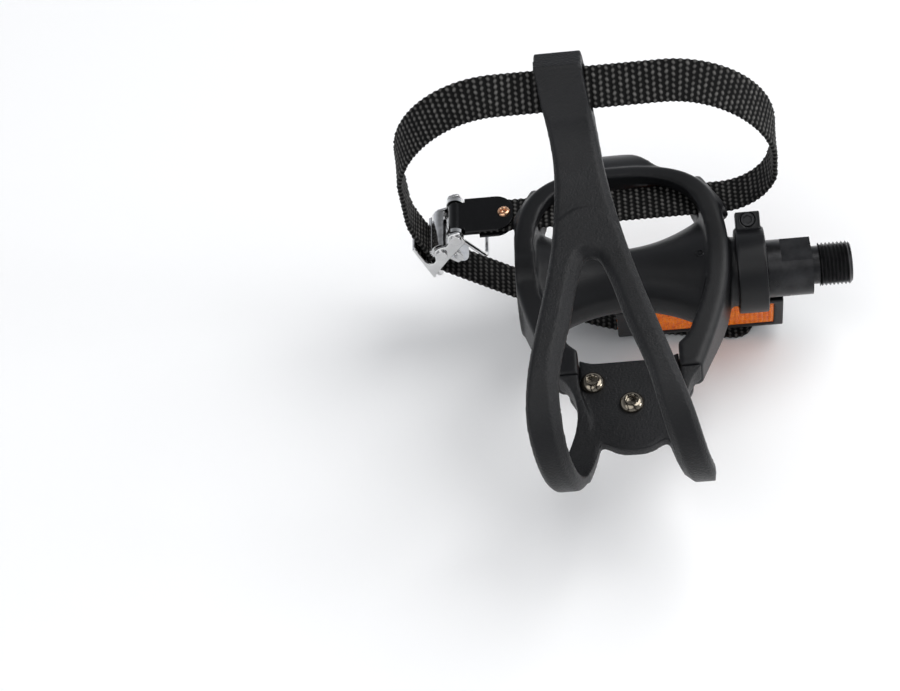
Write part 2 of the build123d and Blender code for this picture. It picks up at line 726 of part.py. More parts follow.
def screw_plane():
    """Frame of the clamp screw, z along its axis towards its head."""
    frame = ear_plane()
    return Plane(frame.origin, x_dir=frame.x_dir, z_dir=frame.y_dir)


def lens_middle_z():
    return -HOUSING_TOP - HOUSING_H / 2


def lens(face):
    """A lens plate with two tabs that show in the outboard end; face is -1 for the toe side."""
    x1 = HOUSING_X + HOUSING_L - LENS_END
    x0 = x1 - LENS_L
    y_out = face * HOUSING_T / 2
    y_in = face * (HOUSING_T / 2 - LENS_T)
    y0, y1 = sorted((y_in, y_out))
    z = lens_middle_z()
    solid = slab(x0, x1, y0, y1, z - LENS_H / 2, z + LENS_H / 2)
    y0, y1 = sorted((y_in, y_out - face * LENS_TAB_COVER))
    for level in (-1, 1):
        middle = z + level * LENS_TAB_PITCH / 2
        solid += slab(HOUSING_X, x0, y0, y1, middle - LENS_TAB_H / 2, middle + LENS_TAB_H / 2)
    return Rot(REFLECTOR_SWING, 0, 0) * solid


def reflector_bracket():
    ring = tube(CLAMP_X, NECK_END_X, CLAMP_OUT_R)
    frame = ear_plane()
    ears = extrude(Rectangle(EAR_H + 2 * CLAMP_WALL, CLAMP_GAP + 2 * EAR_T), EAR_W / 2, both=True)
    ring += frame * Pos(-CLAMP_WALL, 0, 0) * ears
    ring += housing_block(0)
    ring -= tube(CLAMP_X, NECK_END_X, CLAMP_IN_R)
    slit = extrude(Rectangle(EAR_H + 4 * CLAMP_WALL, CLAMP_GAP), CLAMP_W, both=True)
    ring -= frame * slit
    hole = Cylinder(CLAMP_SCREW_D / 2 + BOLT_PLAY, 30)
    ring -= screw_plane() * hole
    head_seat = CLAMP_GAP / 2 + EAR_T - CLAMP_SCREW_HEAD_H
    seat = Cylinder(CLAMP_SCREW_HEAD_D / 2 + BOLT_PLAY, EAR_T, align=(Align.CENTER, Align.CENTER, Align.MIN))
    ring -= screw_plane() * Pos(0, 0, head_seat) * seat
    return ring - lens(-1) - lens(1)


def clamp_screw():
    head_seat = CLAMP_GAP / 2 + EAR_T - CLAMP_SCREW_HEAD_H
    low = CLAMP_GAP / 2 + EAR_T + CLAMP_NUT_T
    upward = (Align.CENTER, Align.CENTER, Align.MIN)
    solid = Pos(0, 0, head_seat) * Cylinder(CLAMP_SCREW_HEAD_D / 2, CLAMP_SCREW_HEAD_H, align=upward)
    solid -= Pos(0, 0, head_seat + CLAMP_SCREW_HEAD_H / 2) * hex_bar(BOLT_HEX_AF, CLAMP_SCREW_HEAD_H)
    solid += Pos(0, 0, -low) * Cylinder(CLAMP_SCREW_D / 2, low + head_seat, align=upward)
    return screw_plane() * solid


def clamp_nut():
    start = CLAMP_GAP / 2 + EAR_T + CLAMP_NUT_T
    bar = Pos(0, 0, -start) * hex_bar(CLAMP_NUT_AF, CLAMP_NUT_T)
    return screw_plane() * (bar - Cylinder(CLAMP_SCREW_D / 2, 60))


def along_strap_in_buckle(height):
    """X and height above the slots of a place on the strap where it runs through the tilted buckle."""
    tilt = radians(BUCKLE_TILT)
    x = END_BAR_X + STRAP_IN_BUCKLE * cos(tilt) - height * sin(tilt)
    return x, STRAP_IN_BUCKLE * sin(tilt) + height * cos(tilt)


def strap_turn():
    """Where the strap leaves the buckle and turns towards its tail."""
    return along_strap_in_buckle(-BUCKLE_BOTTOM + SHEET_T)


def strap_path():
    """The strap's middle line in X and height above the slots, from its fixed end to its tail."""
    turn_x, turn_z = strap_turn()
    level_x, level_z = along_strap_in_buckle(0)
    bow_z = level_z + (level_x - STRAP_OUTBOARD_X) / tan(radians(BUCKLE_TILT))
    rest_z = STRAP_REST_Z - STRAP_Z
    rest_x = turn_x + (turn_z - rest_z) / tan(radians(STRAP_TAIL_SLOPE))
    return FilletPolyline(
        (END_BAR_X + END_CLIP_FOLD_L + END_CLIP_GAP, 0),
        (STRAP_INBOARD_X, 0),
        (STRAP_INBOARD_X, LOOP_TOP),
        (STRAP_OUTBOARD_X, LOOP_TOP),
        (STRAP_OUTBOARD_X, bow_z),
        (turn_x, turn_z),
        (rest_x, rest_z),
        (STRAP_END_X, rest_z),
        radius=[STRAP_FOOT_R, STRAP_TOP_R, STRAP_TOP_R, STRAP_BOW_R, STRAP_TURN_R, STRAP_REST_R],
    )


def strap_section(x, height, along_x, along_z):
    """One cross-section of the strap. Its width turns from level in the slots to the tunnel's tilt."""
    share = min(max(height / LOOP_TOP, 0), 1)
    ease = share * share * (3 - 2 * share)
    y = STRAP_Y + (TUNNEL_Y - STRAP_Y) * ease
    turn_x, turn_z = strap_turn()
    if height < turn_z:
        y += (STRAP_END_Y - STRAP_Y) * (x - turn_x) / (STRAP_END_X - turn_x)
    tilt = radians(TUNNEL_TILT) if share > STRAP_TWIST_SHARE else 0
    along = Vector(along_x, 0, along_z)
    width = Vector(0, cos(tilt), sin(tilt))
    width = (width - along * width.dot(along)).normalized() * (STRAP_W / 2)
    thick = along.cross(width).normalized() * (STRAP_T / 2)
    centre = Vector(x, y, STRAP_Z + height)
    corners = [centre + width + thick, centre - width + thick, centre - width - thick, centre + width - thick]
    return make_face(Polyline(*corners, close=True))


def strap():
    arc_step = radians(15)
    sections = []
    for edge in strap_path().edges():
        turn = edge.length / edge.radius if edge.geom_type == GeomType.CIRCLE else 0
        pieces = max(1, round(turn / arc_step))
        for i in range(pieces + 1):
            if i == 0 and sections:
                continue
            point = edge @ (i / pieces)
            along = edge % (i / pieces)
            sections.append(strap_section(point.X, point.Y, along.X, along.Y))
    return loft(sections, ruled=True) - rivet_bar(RIVET_D / 2)


def rivet_x():
    return END_BAR_X + END_CLIP_L - RIVET_TO_END


def rivet_bar(radius):
    return Pos(rivet_x(), STRAP_Y, STRAP_Z) * Cylinder(radius, 20)


def clip_half():
    """Half the outer thickness of the folded end clip."""
    return STRAP_T / 2 + END_CLIP_GAP + END_CLIP_T


def strap_end_clip():
    """The sheet folded round the end bar and riveted over the strap's end."""
    eye_in = END_BAR_D / 2 + END_CLIP_EYE_PLAY
    eye_out = eye_in + END_CLIP_T
    inner_half = clip_half() - END_CLIP_T
    bar = Pos(END_BAR_X, 0)
    outside = bar * Circle(eye_out) + bar * Pos(END_CLIP_L / 2, 0) * Rectangle(END_CLIP_L, 2 * clip_half())
    inside = bar * Circle(eye_in) + bar * Pos(END_CLIP_L / 2, 0) * Rectangle(END_CLIP_L, 2 * inner_half)
    plane = Plane((0, STRAP_Y, STRAP_Z), x_dir=(1, 0, 0), z_dir=(0, -1, 0))
    folded = plane * extrude(outside - inside, END_CLIP_W / 2, both=True)
    layer = Pos(0, 0, STRAP_Z)
    above = layer * extrude(end_clip_plan(END_CLIP_SHOULDER), 2 * eye_out)
    below = layer * extrude(end_clip_plan(END_CLIP_FOLD_L), -2 * eye_out)
    return (folded & (above + below)) - rivet_bar(RIVET_D / 2)


def end_clip_plan(shoulder):
    """One layer of the end clip in plan: narrow at the bar, then full width, and round at the end."""
    eye_out = END_BAR_D / 2 + END_CLIP_EYE_PLAY + END_CLIP_T
    neck_l = shoulder + eye_out
    neck = Pos(END_BAR_X - eye_out + neck_l / 2, STRAP_Y) * Rectangle(neck_l, END_CLIP_FOLD_W)
    cover_l = END_CLIP_L - shoulder
    cover = Pos(END_BAR_X + shoulder + cover_l / 2, STRAP_Y) * Rectangle(cover_l, END_CLIP_W)
    round_end = cover.vertices().group_by(Axis.X)[-1]
    return neck + fillet(round_end, END_CLIP_W * 0.4)


def strap_rivet():
    solid = Pos(rivet_x(), STRAP_Y, STRAP_Z) * Cylinder(RIVET_D / 2, 2 * clip_half())
    for side in (-1, 1):
        upward = Align.MIN if side > 0 else Align.MAX
        head = Cylinder(RIVET_HEAD_D / 2, RIVET_HEAD_H, align=(Align.CENTER, Align.CENTER, upward))
        rim = head.edges().group_by(Axis.Z)[-1 if side > 0 else 0]
        head = chamfer(rim, RIVET_HEAD_H * 0.7)
        solid += Pos(rivet_x(), STRAP_Y, STRAP_Z + side * clip_half()) * head
    return solid


def bar_plane(tilt):
    """Side view at the end bar, tilted about it: x inboard, y up."""
    angle = radians(tilt)
    return Plane((END_BAR_X, STRAP_Y, STRAP_Z), x_dir=(cos(angle), 0, sin(angle)), z_dir=(0, -1, 0))


def along_buckle(radius, length):
    """A round bar across the buckle, centred on the strap's middle."""
    return extrude(Circle(radius), length / 2, both=True)


def buckle_frame():
    """The tilted channel of the buckle: two cheeks, a back and a thumb tongue, all one sheet."""
    outside_w = BUCKLE_INSIDE_W + 2 * SHEET_T
    ear = PIN_HEAD_D / 2 + BUCKLE_MARGIN
    back_x = -END_BAR_REACH
    cheek = Polyline(
        (back_x, BUCKLE_TOP),
        (CAM_PIN_AT, ear + BUCKLE_MARGIN),
        (ear, ear),
        (ear, -ear),
        (CAM_PIN_AT, -CAM_PIN_DROP - CAM_LOBE_R),
        (back_x, -BUCKLE_BOTTOM),
        close=True,
    )
    cheek_face = make_face(cheek)
    round_corners = cheek_face.vertices().filter_by(lambda v: v.X > back_x + 0.1)
    cheek_face = fillet(round_corners, 2 * BUCKLE_MARGIN)
    cheeks = extrude(cheek_face, outside_w / 2, both=True)
    cheeks -= extrude(cheek_face, BUCKLE_INSIDE_W / 2, both=True)
    back_h = BUCKLE_TOP + BUCKLE_BOTTOM
    back = Pos(back_x + SHEET_T / 2, (BUCKLE_TOP - BUCKLE_BOTTOM) / 2) * Rectangle(SHEET_T, back_h)
    solid = cheeks + extrude(back, outside_w / 2, both=True)
    tongue = Pos(back_x + SHEET_T / 2, -BUCKLE_BOTTOM - TONGUE_L / 2) * Rectangle(SHEET_T, TONGUE_L)
    tongue = extrude(tongue, TONGUE_W / 2, both=True)
    tip = tongue.edges().filter_by(Axis.X).group_by(Axis.Y)[0]
    solid += fillet(tip, TONGUE_W * 0.4)
    solid -= Pos(CAM_PIN_AT, -CAM_PIN_DROP) * along_buckle(CAM_PIN_D / 2, outside_w)
    solid -= along_buckle(END_BAR_D / 2, outside_w)
    return bar_plane(BUCKLE_TILT) * solid


def headed_pin(x, height, diameter):
    """A pin across the buckle with a flat head outside each cheek."""
    outside_w = BUCKLE_INSIDE_W + 2 * SHEET_T
    solid = along_buckle(diameter / 2, outside_w)
    heads = along_buckle(PIN_HEAD_D / 2, outside_w + 2 * PIN_HEAD_T) - along_buckle(PIN_HEAD_D / 2, outside_w)
    return bar_plane(BUCKLE_TILT) * Pos(x, height) * (solid + heads)


def cam_lever():
    """The toothed cam on its pin and the thumb lever."""
    teeth = []
    start, sweep = 150.0, 80.0
    step = sweep / CAM_TEETH
    for i in range(CAM_TEETH):
        low = radians(start + i * step)
        tip = radians(start + (i + 0.5) * step)
        root = CAM_LOBE_R - CAM_TOOTH_H
        teeth.append((root * cos(low), root * sin(low)))
        teeth.append((CAM_LOBE_R * cos(tip), CAM_LOBE_R * sin(tip)))
    end = radians(start + sweep)
    teeth.append(((CAM_LOBE_R - CAM_TOOTH_H) * cos(end), (CAM_LOBE_R - CAM_TOOTH_H) * sin(end)))
    teeth.append((0, 0))
    profile = Circle(CAM_CURL_R) + make_face(Polyline(*teeth, close=True))
    solid = extrude(profile, CAM_W / 2, both=True)
    handle = Pos(LEVER_REACH / 2, -CAM_CURL_R + LEVER_T / 2) * Rectangle(LEVER_REACH, LEVER_T)
    handle = extrude(handle, LEVER_W / 2, both=True)
    pad = handle.edges().filter_by(Axis.Y).group_by(Axis.X)[-1]
    solid += Rot(0, 0, LEVER_ANGLE) * fillet(pad, LEVER_W * 0.4)
    solid -= along_buckle(CAM_PIN_D / 2 + CAM_RUN, CAM_W)
    return bar_plane(BUCKLE_TILT) * Pos(CAM_PIN_AT, -CAM_PIN_DROP) * solid


def keeper_loop():
    """The wire loop that swings on the end bar and keeps the strap's tail."""
    wire_r = KEEPER_WIRE_D / 2
    eye_r = END_BAR_D / 2 + KEEPER_EYE_PLAY + wire_r
    path = FilletPolyline(
        (eye_r, 0, -KEEPER_LEG_Y),
        (KEEPER_REACH, 0, -KEEPER_LEG_Y),
        (KEEPER_REACH, 0, KEEPER_LEG_Y),
        (eye_r, 0, KEEPER_LEG_Y),
        radius=KEEPER_BEND_R,
    )
    solid = sweep(Plane(path @ 0, z_dir=path % 0) * Circle(wire_r), path)
    for side in (-1, 1):
        eye = extrude(Circle(eye_r + wire_r) - Circle(eye_r - wire_r), wire_r, both=True)
        solid += Pos(0, 0, side * KEEPER_LEG_Y) * eye
    return bar_plane(KEEPER_ANGLE) * solid


NODES = {
    "pedal_body": pedal_body,
    "dust_cap": dust_cap,
    "neck_bush": lambda: tube(BUSH_X, BUSH_X + BUSH_L, BORE_R, SHAFT_D / 2 + RUN),
    "bearing_outer": lambda: tube(BEARING_X, SHOULDER_X, BEARING_OD / 2, BEARING_SPLIT_D / 2),
    "neck_seal": lambda: tube(LAND_X, NECK_END_X, SEAL_D / 2, LAND_D / 2 + END_FLOAT),
    "toe_clip": toe_clip,
    "clip_bolts": clip_bolts,
    "nut_plate": nut_plate,
    "reflector_bracket": reflector_bracket,
    "front_lens": lambda: lens(-1),
    "rear_lens": lambda: lens(1),
    "clamp_screw": clamp_screw,
    "clamp_nut": clamp_nut,
    "strap": strap,
    "strap_end_clip": strap_end_clip,
    "strap_rivet": strap_rivet,
    "buckle_frame": buckle_frame,
    "cam_lever": cam_lever,
    "cam_pin": lambda: headed_pin(CAM_PIN_AT, -CAM_PIN_DROP, CAM_PIN_D),
    "end_bar": lambda: headed_pin(0, 0, END_BAR_D),
    "keeper_loop": keeper_loop,
    "spindle": spindle,
    "bearing_inner": lambda: tube(BEARING_X, SHOULDER_X, BEARING_SPLIT_D / 2 - RUN, TAIL_THREAD_D / 2),
    "lock_washer": lambda: tube(WASHER_X, WASHER_X + WASHER_T, WASHER_D / 2, TAIL_THREAD_D / 2),
    "lock_nut": lock_nut,
}

os.makedirs("parts", exist_ok=True)
for name, make in NODES.items():
    shape = make()
    export_step(shape, f"parts/{name}.step")
    print(name, len(shape.solids()), round(shape.volume))
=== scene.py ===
# %% [markdown]
# # A toe clip pedal
# The pedal is built in its own frame: the origin is on the spindle at the root of the crank
# thread, +X points to the crank, +Y to the heel and +Z up. The rigid pieces come from the packed
# model. This lesson gives them their finishes and adds what is finer than a solid model holds:
# the cut thread, the woven strap and the prisms of the lenses.

# %% Load the model
import json
import math

import bmesh
import bpy
import numpy as np
from mathutils import Matrix, Vector


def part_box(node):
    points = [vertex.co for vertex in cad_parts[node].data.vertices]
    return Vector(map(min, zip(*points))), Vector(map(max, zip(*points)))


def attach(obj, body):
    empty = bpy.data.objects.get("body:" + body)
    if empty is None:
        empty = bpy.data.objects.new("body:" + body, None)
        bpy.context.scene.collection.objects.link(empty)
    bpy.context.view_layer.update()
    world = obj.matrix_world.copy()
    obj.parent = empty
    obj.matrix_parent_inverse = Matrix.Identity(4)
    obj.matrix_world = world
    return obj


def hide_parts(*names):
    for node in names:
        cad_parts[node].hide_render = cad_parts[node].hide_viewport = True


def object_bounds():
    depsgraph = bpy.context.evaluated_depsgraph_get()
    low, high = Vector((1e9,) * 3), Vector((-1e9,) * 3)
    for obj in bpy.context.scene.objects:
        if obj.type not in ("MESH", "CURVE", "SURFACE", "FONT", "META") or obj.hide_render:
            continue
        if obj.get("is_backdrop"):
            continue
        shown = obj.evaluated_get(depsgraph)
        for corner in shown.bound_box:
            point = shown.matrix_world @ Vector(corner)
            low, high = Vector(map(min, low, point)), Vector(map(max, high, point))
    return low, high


MM = 0.001
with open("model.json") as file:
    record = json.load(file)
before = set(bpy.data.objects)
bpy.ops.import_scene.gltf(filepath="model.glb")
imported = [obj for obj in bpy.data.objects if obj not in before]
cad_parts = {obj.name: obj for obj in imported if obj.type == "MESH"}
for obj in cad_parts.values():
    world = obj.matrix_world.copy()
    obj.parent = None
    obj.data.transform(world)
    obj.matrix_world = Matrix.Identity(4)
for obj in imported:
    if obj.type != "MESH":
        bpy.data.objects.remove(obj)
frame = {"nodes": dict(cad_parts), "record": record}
cad_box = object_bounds()

# %% [markdown]
# ## Camera
# The photograph looks down on the pedal from in front of its toe, with the camera rolled a
# little. Its place was found by matching known points of the pedal, such as the thread, the toe
# and the head of the clip, so it is written as a place, a tilt and a lens and nothing else.

# %% Camera
CAMERA_PLACE = Vector((-56.7, -482.6, 574.8)) * MM
CAMERA_TURN = tuple(math.radians(a) for a in (38.51, 6.93, -0.50))
CAMERA_LENS = 90.18


def add_object(name, data):
    """A new object in the scene."""
    made = bpy.data.objects.new(name, data)
    bpy.context.scene.collection.objects.link(made)
    return made


camera_data = bpy.data.cameras.new("camera")
camera_data.lens = CAMERA_LENS
camera_data.sensor_width = 36.0
camera_data.clip_start = 0.01
camera_data.clip_end = 20.0
camera = add_object("camera", camera_data)
camera.location = CAMERA_PLACE
camera.rotation_euler = CAMERA_TURN
bpy.context.scene.camera = camera
print("camera at", [round(c, 3) for c in CAMERA_PLACE])

# %% [markdown]
# ## Floor and light
# The photograph was taken on white paper, with one broad light from the crank's side and a weaker
# one from the front. A small low lamp on the crank's side picks out the bevels. A pale floor just
# below the lowest piece keeps the soft shadow. Black plastic shows little but what it reflects, so
# the sky is bright round the sides, as white walls are, and dim overhead, or every top face would
# turn grey.

# %% Floor
FLOOR_SIZE = 6.0
FLOOR_GAP = 0.2 * MM
PAPER_COLOUR = (0.98, 0.98, 0.98, 1)
PAPER_ROUGHNESS = 0.9
PAPER_SHINE = 0.1
floor_z = cad_box[0].z - FLOOR_GAP


def flat_square(name, size, z):
    """A level square in the middle of the scene, at a height."""
    half = size / 2
    mesh = bpy.data.meshes.new(name)
    corners = [(-half, -half, z), (half, -half, z), (half, half, z), (-half, half, z)]
    mesh.from_pydata(corners, [], [(0, 1, 2, 3)])
    return add_object(name, mesh)


def white_paper():
    """Matt paper, pale enough to fade into a white background."""
    material = bpy.data.materials.new("white_paper")
    material.use_nodes = True
    shader = material.node_tree.nodes["Principled BSDF"]
    shader.inputs["Base Color"].default_value = PAPER_COLOUR
    shader.inputs["Roughness"].default_value = PAPER_ROUGHNESS
    shader.inputs["Specular IOR Level"].default_value = PAPER_SHINE
    return material


floor = flat_square("floor", FLOOR_SIZE, floor_z)
floor.data.materials.append(white_paper())
floor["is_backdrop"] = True
print("floor at", round(floor_z, 4))

# %% Lamps and sky
OBJECT_MIDDLE = (cad_box[0] + cad_box[1]) / 2
# Place and width in metres and power in watts of each lamp.
LAMPS = {
    "side_key": ((0.75, 0.35, 1.4), 1.4, 17.5),
    "front_fill": ((-0.6, -0.7, 1.35), 1.6, 10),
    "side_strip": ((1.15, -0.15, 0.55), 0.45, 4),
}
SKY_SIDES = (0.64, 0.66, 0.70, 1)
SKY_OVERHEAD = (0.19, 0.195, 0.205, 1)
SKY_BLEND = (0.2, 0.75)


def soft_lamp(name, spot, target, width, power):
    """A round area lamp at a spot, turned to face a target."""
    data = bpy.data.lights.new(name, "AREA")
    data.shape = "DISK"
    data.size = width
    data.energy = power
    lamp = add_object(name, data)
    lamp.location = spot
    aim = Vector(target) - Vector(spot)
    lamp.rotation_euler = aim.to_track_quat("-Z", "Y").to_euler()
    return lamp


def studio_sky():
    """A plain sky, bright round the sides as white walls are and dimmer overhead."""
    world = bpy.data.worlds.new("studio")
    world.use_nodes = True
    tree = world.node_tree
    coords = tree.nodes.new("ShaderNodeTexCoord")
    split = tree.nodes.new("ShaderNodeSeparateXYZ")
    tone = tree.nodes.new("ShaderNodeValToRGB")
    low, high = tone.color_ramp.elements
    low.position, high.position = SKY_BLEND
    low.color = SKY_SIDES
    high.color = SKY_OVERHEAD
    tree.links.new(coords.outputs["Generated"], split.inputs["Vector"])
    tree.links.new(split.outputs["Z"], tone.inputs["Fac"])
    tree.links.new(tone.outputs["Color"], tree.nodes["Background"].inputs["Color"])
    bpy.context.scene.world = world
    return world


for name, (spot, width, power) in LAMPS.items():
    soft_lamp(name, spot, OBJECT_MIDDLE, width, power)
studio_sky()
bpy.context.scene.view_settings.view_transform = "Standard"

# %% [markdown]
# ## Helpers for meshes and finishes
# Each finish below is a node tree on the shader, with small changes of colour and roughness and
# a fine bump, read from Object coordinates so that it stays with its piece. A copy of a solid has
# its doubled points merged and its edges rounded by a narrow bevel, because a moulded or pressed
# edge is never quite sharp and its thin highlight shows the form.

# %% Mesh helpers
MERGE_WITHIN = 1e-6
FLAT_WITHIN = math.radians(0.4)
EDGE_ANGLE = math.radians(32)
EDGE_SEGMENTS = 2
RELAX_FACTOR = 0.5


def clean_copy(node):
    """A merged copy of a node's mesh, with flat faces joined."""
    shape = bmesh.new()
    shape.from_mesh(frame["nodes"][node].data)
    bmesh.ops.remove_doubles(shape, verts=shape.verts, dist=MERGE_WITHIN)
    bmesh.ops.dissolve_degenerate(shape, dist=MERGE_WITHIN, edges=shape.edges)
    fresh = bmesh.new()
    points = {v: fresh.verts.new(v.co) for v in shape.verts}
    for face in shape.faces:
        fresh.faces.new([points[v] for v in face.verts])
    shape.free()
    bmesh.ops.recalc_face_normals(fresh, faces=fresh.faces)
    bmesh.ops.dissolve_limit(
        fresh, angle_limit=FLAT_WITHIN, verts=fresh.verts, edges=fresh.edges
    )
    return fresh


def mesh_object(name, shape):
    """A new object from a bmesh, which is freed."""
    mesh = bpy.data.meshes.new(name)
    shape.to_mesh(mesh)
    shape.free()
    return add_object(name, mesh)


def round_edges(made, width):
    """Round the sharp edges by a bevel and leave the curved faces smooth."""
    made.data.shade_smooth()
    made.data.set_sharp_from_angle(angle=EDGE_ANGLE)
    bevel = made.modifiers.new("rounded_edges", "BEVEL")
    bevel.width = width
    bevel.segments = EDGE_SEGMENTS
    bevel.limit_method = "ANGLE"
    bevel.angle_limit = EDGE_ANGLE
    bevel.harden_normals = True
    return made


def plain_mesh(made):
    """Give an object the mesh that its modifiers make, and take the modifiers off."""
    graph = bpy.context.evaluated_depsgraph_get()
    mesh = bpy.data.meshes.new_from_object(made.evaluated_get(graph))
    made.modifiers.clear()
    made.data = mesh
    return made


def even_skin(made, voxel, rounds):
    """Give a solid one even skin, relaxed so that its edges round over as a moulding's do."""
    skin = made.modifiers.new("even_skin", "REMESH")
    skin.mode = "VOXEL"
    skin.voxel_size = voxel
    relax = made.modifiers.new("relaxed_edges", "SMOOTH")
    relax.factor = RELAX_FACTOR
    relax.iterations = rounds
    plain_mesh(made)
    made.data.shade_smooth()
    return made


print("mesh helpers ready")

# %% Pieces in their place
BODY_OF = {n: b for b, ns in frame["record"]["behaviour"]["bodies"].items() for n in ns}
SLOT_OF = {s["node"]: s["material_slot"] for s in frame["record"]["subparts"]}


def place(made, body, material, slot, *nodes):
    """Give a finished piece its material and let it ride on a body in place of some nodes."""
    made.data.materials.clear()
    made.data.materials.append(material)
    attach(made, body)
    if nodes:
        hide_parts(*nodes)
    return made


def finished_node(node, material, edge):
    """A solid with rounded edges and its finish, in place of the plain node."""
    made = round_edges(mesh_object(node + "_finished", clean_copy(node)), edge)
    return place(made, BODY_OF[node], material, SLOT_OF[node], node)


print("helpers ready for", len(BODY_OF), "nodes")

# %% Node helpers
COOL_BLACK = (1.0, 1.03, 1.16)


def new_finish(name):
    """A material with its shader and a texture coordinate ready to link."""
    material = bpy.data.materials.new(name)
    material.use_nodes = True
    tree = material.node_tree
    shader = tree.nodes["Principled BSDF"]
    coords = tree.nodes.new("ShaderNodeTexCoord")
    return material, tree, shader, coords.outputs["Object"]


def noise(tree, coords, scale, detail=3.0, rough=0.55):
    """A noise of a given scale on the coordinates."""
    node = tree.nodes.new("ShaderNodeTexNoise")
    node.inputs["Scale"].default_value = scale
    node.inputs["Detail"].default_value = detail
    node.inputs["Roughness"].default_value = rough
    tree.links.new(coords, node.inputs["Vector"])
    return node.outputs["Fac"]


def ramp(tree, value, low, high, dark, light):
    """Turn a value between low and high into a colour between dark and light."""
    node = tree.nodes.new("ShaderNodeValToRGB")
    first, last = node.color_ramp.elements
    first.position, last.position = low, high
    first.color = (*dark, 1)
    last.color = (*light, 1)
    tree.links.new(value, node.inputs["Fac"])
    return node.outputs["Color"]


def spread(tree, value, low, high):
    """Map a value from 0..1 to low..high."""
    node = tree.nodes.new("ShaderNodeMapRange")
    node.inputs["To Min"].default_value = low
    node.inputs["To Max"].default_value = high
    tree.links.new(value, node.inputs["Value"])
    return node.outputs["Result"]


def bump(tree, shader, height, strength, distance):
    """Let a height raise the shader's surface by up to a distance."""
    node = tree.nodes.new("ShaderNodeBump")
    node.inputs["Strength"].default_value = strength
    node.inputs["Distance"].default_value = distance
    tree.links.new(height, node.inputs["Height"])
    tree.links.new(node.outputs["Normal"], shader.inputs["Normal"])
    return node


def grey(value):
    """A neutral black that is a little cool, as black plastic is under white light."""
    return tuple(value * tint for tint in COOL_BLACK)


print("node helpers ready")

# %% [markdown]
# ## Black nylon
# The cage, the clip and the reflector's housing are glass-filled nylon. The cage is satin and
# smooth, with faint flow marks. The clip has a fine grain all over, so it looks greyer where
# light grazes it. Both are near black but not quite, because scattered light in the plastic
# lifts the darkest parts. The same recipe, smoother or duller, serves for the glossy black paint of
# the strap's end clip and for the rubber seal.

# %% Nylon finishes
FLOW_MARKS = 45.0
ROUGH_SPREAD = 0.14
NYLON_SHINE = 0.26


def nylon(name, dark, light, rough, grain_size, grain_depth):
    """Moulded nylon: a mottled near-black with a grain of a given size and depth."""
    material, tree, shader, coords = new_finish(name)
    cloud = noise(tree, coords, FLOW_MARKS)
    grain = noise(tree, coords, 1.0 / grain_size, detail=2.0, rough=0.6)
    colour = ramp(tree, cloud, low=0.3, high=0.7, dark=grey(dark), light=grey(light))
    gloss = spread(tree, grain, low=rough - ROUGH_SPREAD, high=rough + ROUGH_SPREAD)
    tree.links.new(colour, shader.inputs["Base Color"])
    tree.links.new(gloss, shader.inputs["Roughness"])
    shader.inputs["Specular IOR Level"].default_value = NYLON_SHINE
    bump(tree, shader, grain, strength=0.7, distance=grain_depth)
    return material


# Darkest and lightest tone, roughness, and size and depth of the grain.
CAGE_NYLON = nylon("cage_nylon", 0.005, 0.009, 0.38, 0.45 * MM, 0.05 * MM)
CLIP_NYLON = nylon("clip_nylon", 0.005, 0.009, 0.42, 0.6 * MM, 0.35 * MM)
HOUSING_PLASTIC = nylon("housing_plastic", 0.005, 0.009, 0.36, 0.3 * MM, 0.015 * MM)
GLOSSY_BLACK = nylon("glossy_black", 0.004, 0.006, 0.18, 1.2 * MM, 0.01 * MM)
SEAL_RUBBER = nylon("seal_rubber", 0.007, 0.010, 0.7, 0.5 * MM, 0.03 * MM)
print("nylon finishes made")

# %% [markdown]
# ## Metals
# The buckle and the nut plate are bright plated sheet with wavy reflections, as pressed sheet has.
# The bolts are darker and warmer, the rivet is copper, the spindle is black oxide with a slight
# sheen, and the bearing pieces are plain ground steel.

# %% Metal finishes
PLATE_CLOUDS = 260.0
PLATE_DULL = 0.86
PLATE_ROUGH_LOW, PLATE_ROUGH_HIGH = 0.7, 1.5
OXIDE_CLOUDS = 180.0
OXIDE_DARK = (0.018, 0.018, 0.019)
OXIDE_LIGHT = (0.045, 0.045, 0.047)
TURNING_MARKS = 700.0


def plated(name, colour, rough, wave_size, wave_depth):
    """Metal with a slight cloudiness and shallow waves left by pressing."""
    material, tree, shader, coords = new_finish(name)
    shader.inputs["Metallic"].default_value = 1.0
    cloud = noise(tree, coords, PLATE_CLOUDS, detail=4.0)
    dull = tuple(c * PLATE_DULL for c in colour)
    tone = ramp(tree, cloud, low=0.35, high=0.7, dark=dull, light=colour)
    gloss = spread(tree, cloud, low=rough * PLATE_ROUGH_LOW, high=rough * PLATE_ROUGH_HIGH)
    tree.links.new(tone, shader.inputs["Base Color"])
    tree.links.new(gloss, shader.inputs["Roughness"])
    wave = noise(tree, coords, 1.0 / wave_size, detail=1.0)
    bump(tree, shader, wave, strength=0.4, distance=wave_depth)
    return material


# Colour, roughness, and size and depth of the waves.
BRIGHT_PLATE = plated("bright_plate", (0.76, 0.76, 0.76), 0.09, 4.5 * MM, 0.9 * MM)
DARK_CHROME = plated("dark_chrome", (0.26, 0.23, 0.185), 0.15, 2.5 * MM, 0.05 * MM)
COPPER_RIVET = plated("copper_rivet", (0.72, 0.42, 0.26), 0.22, 1.5 * MM, 0.05 * MM)
GROUND_STEEL = plated("ground_steel", (0.52, 0.52, 0.53), 0.3, 1.0 * MM, 0.02 * MM)


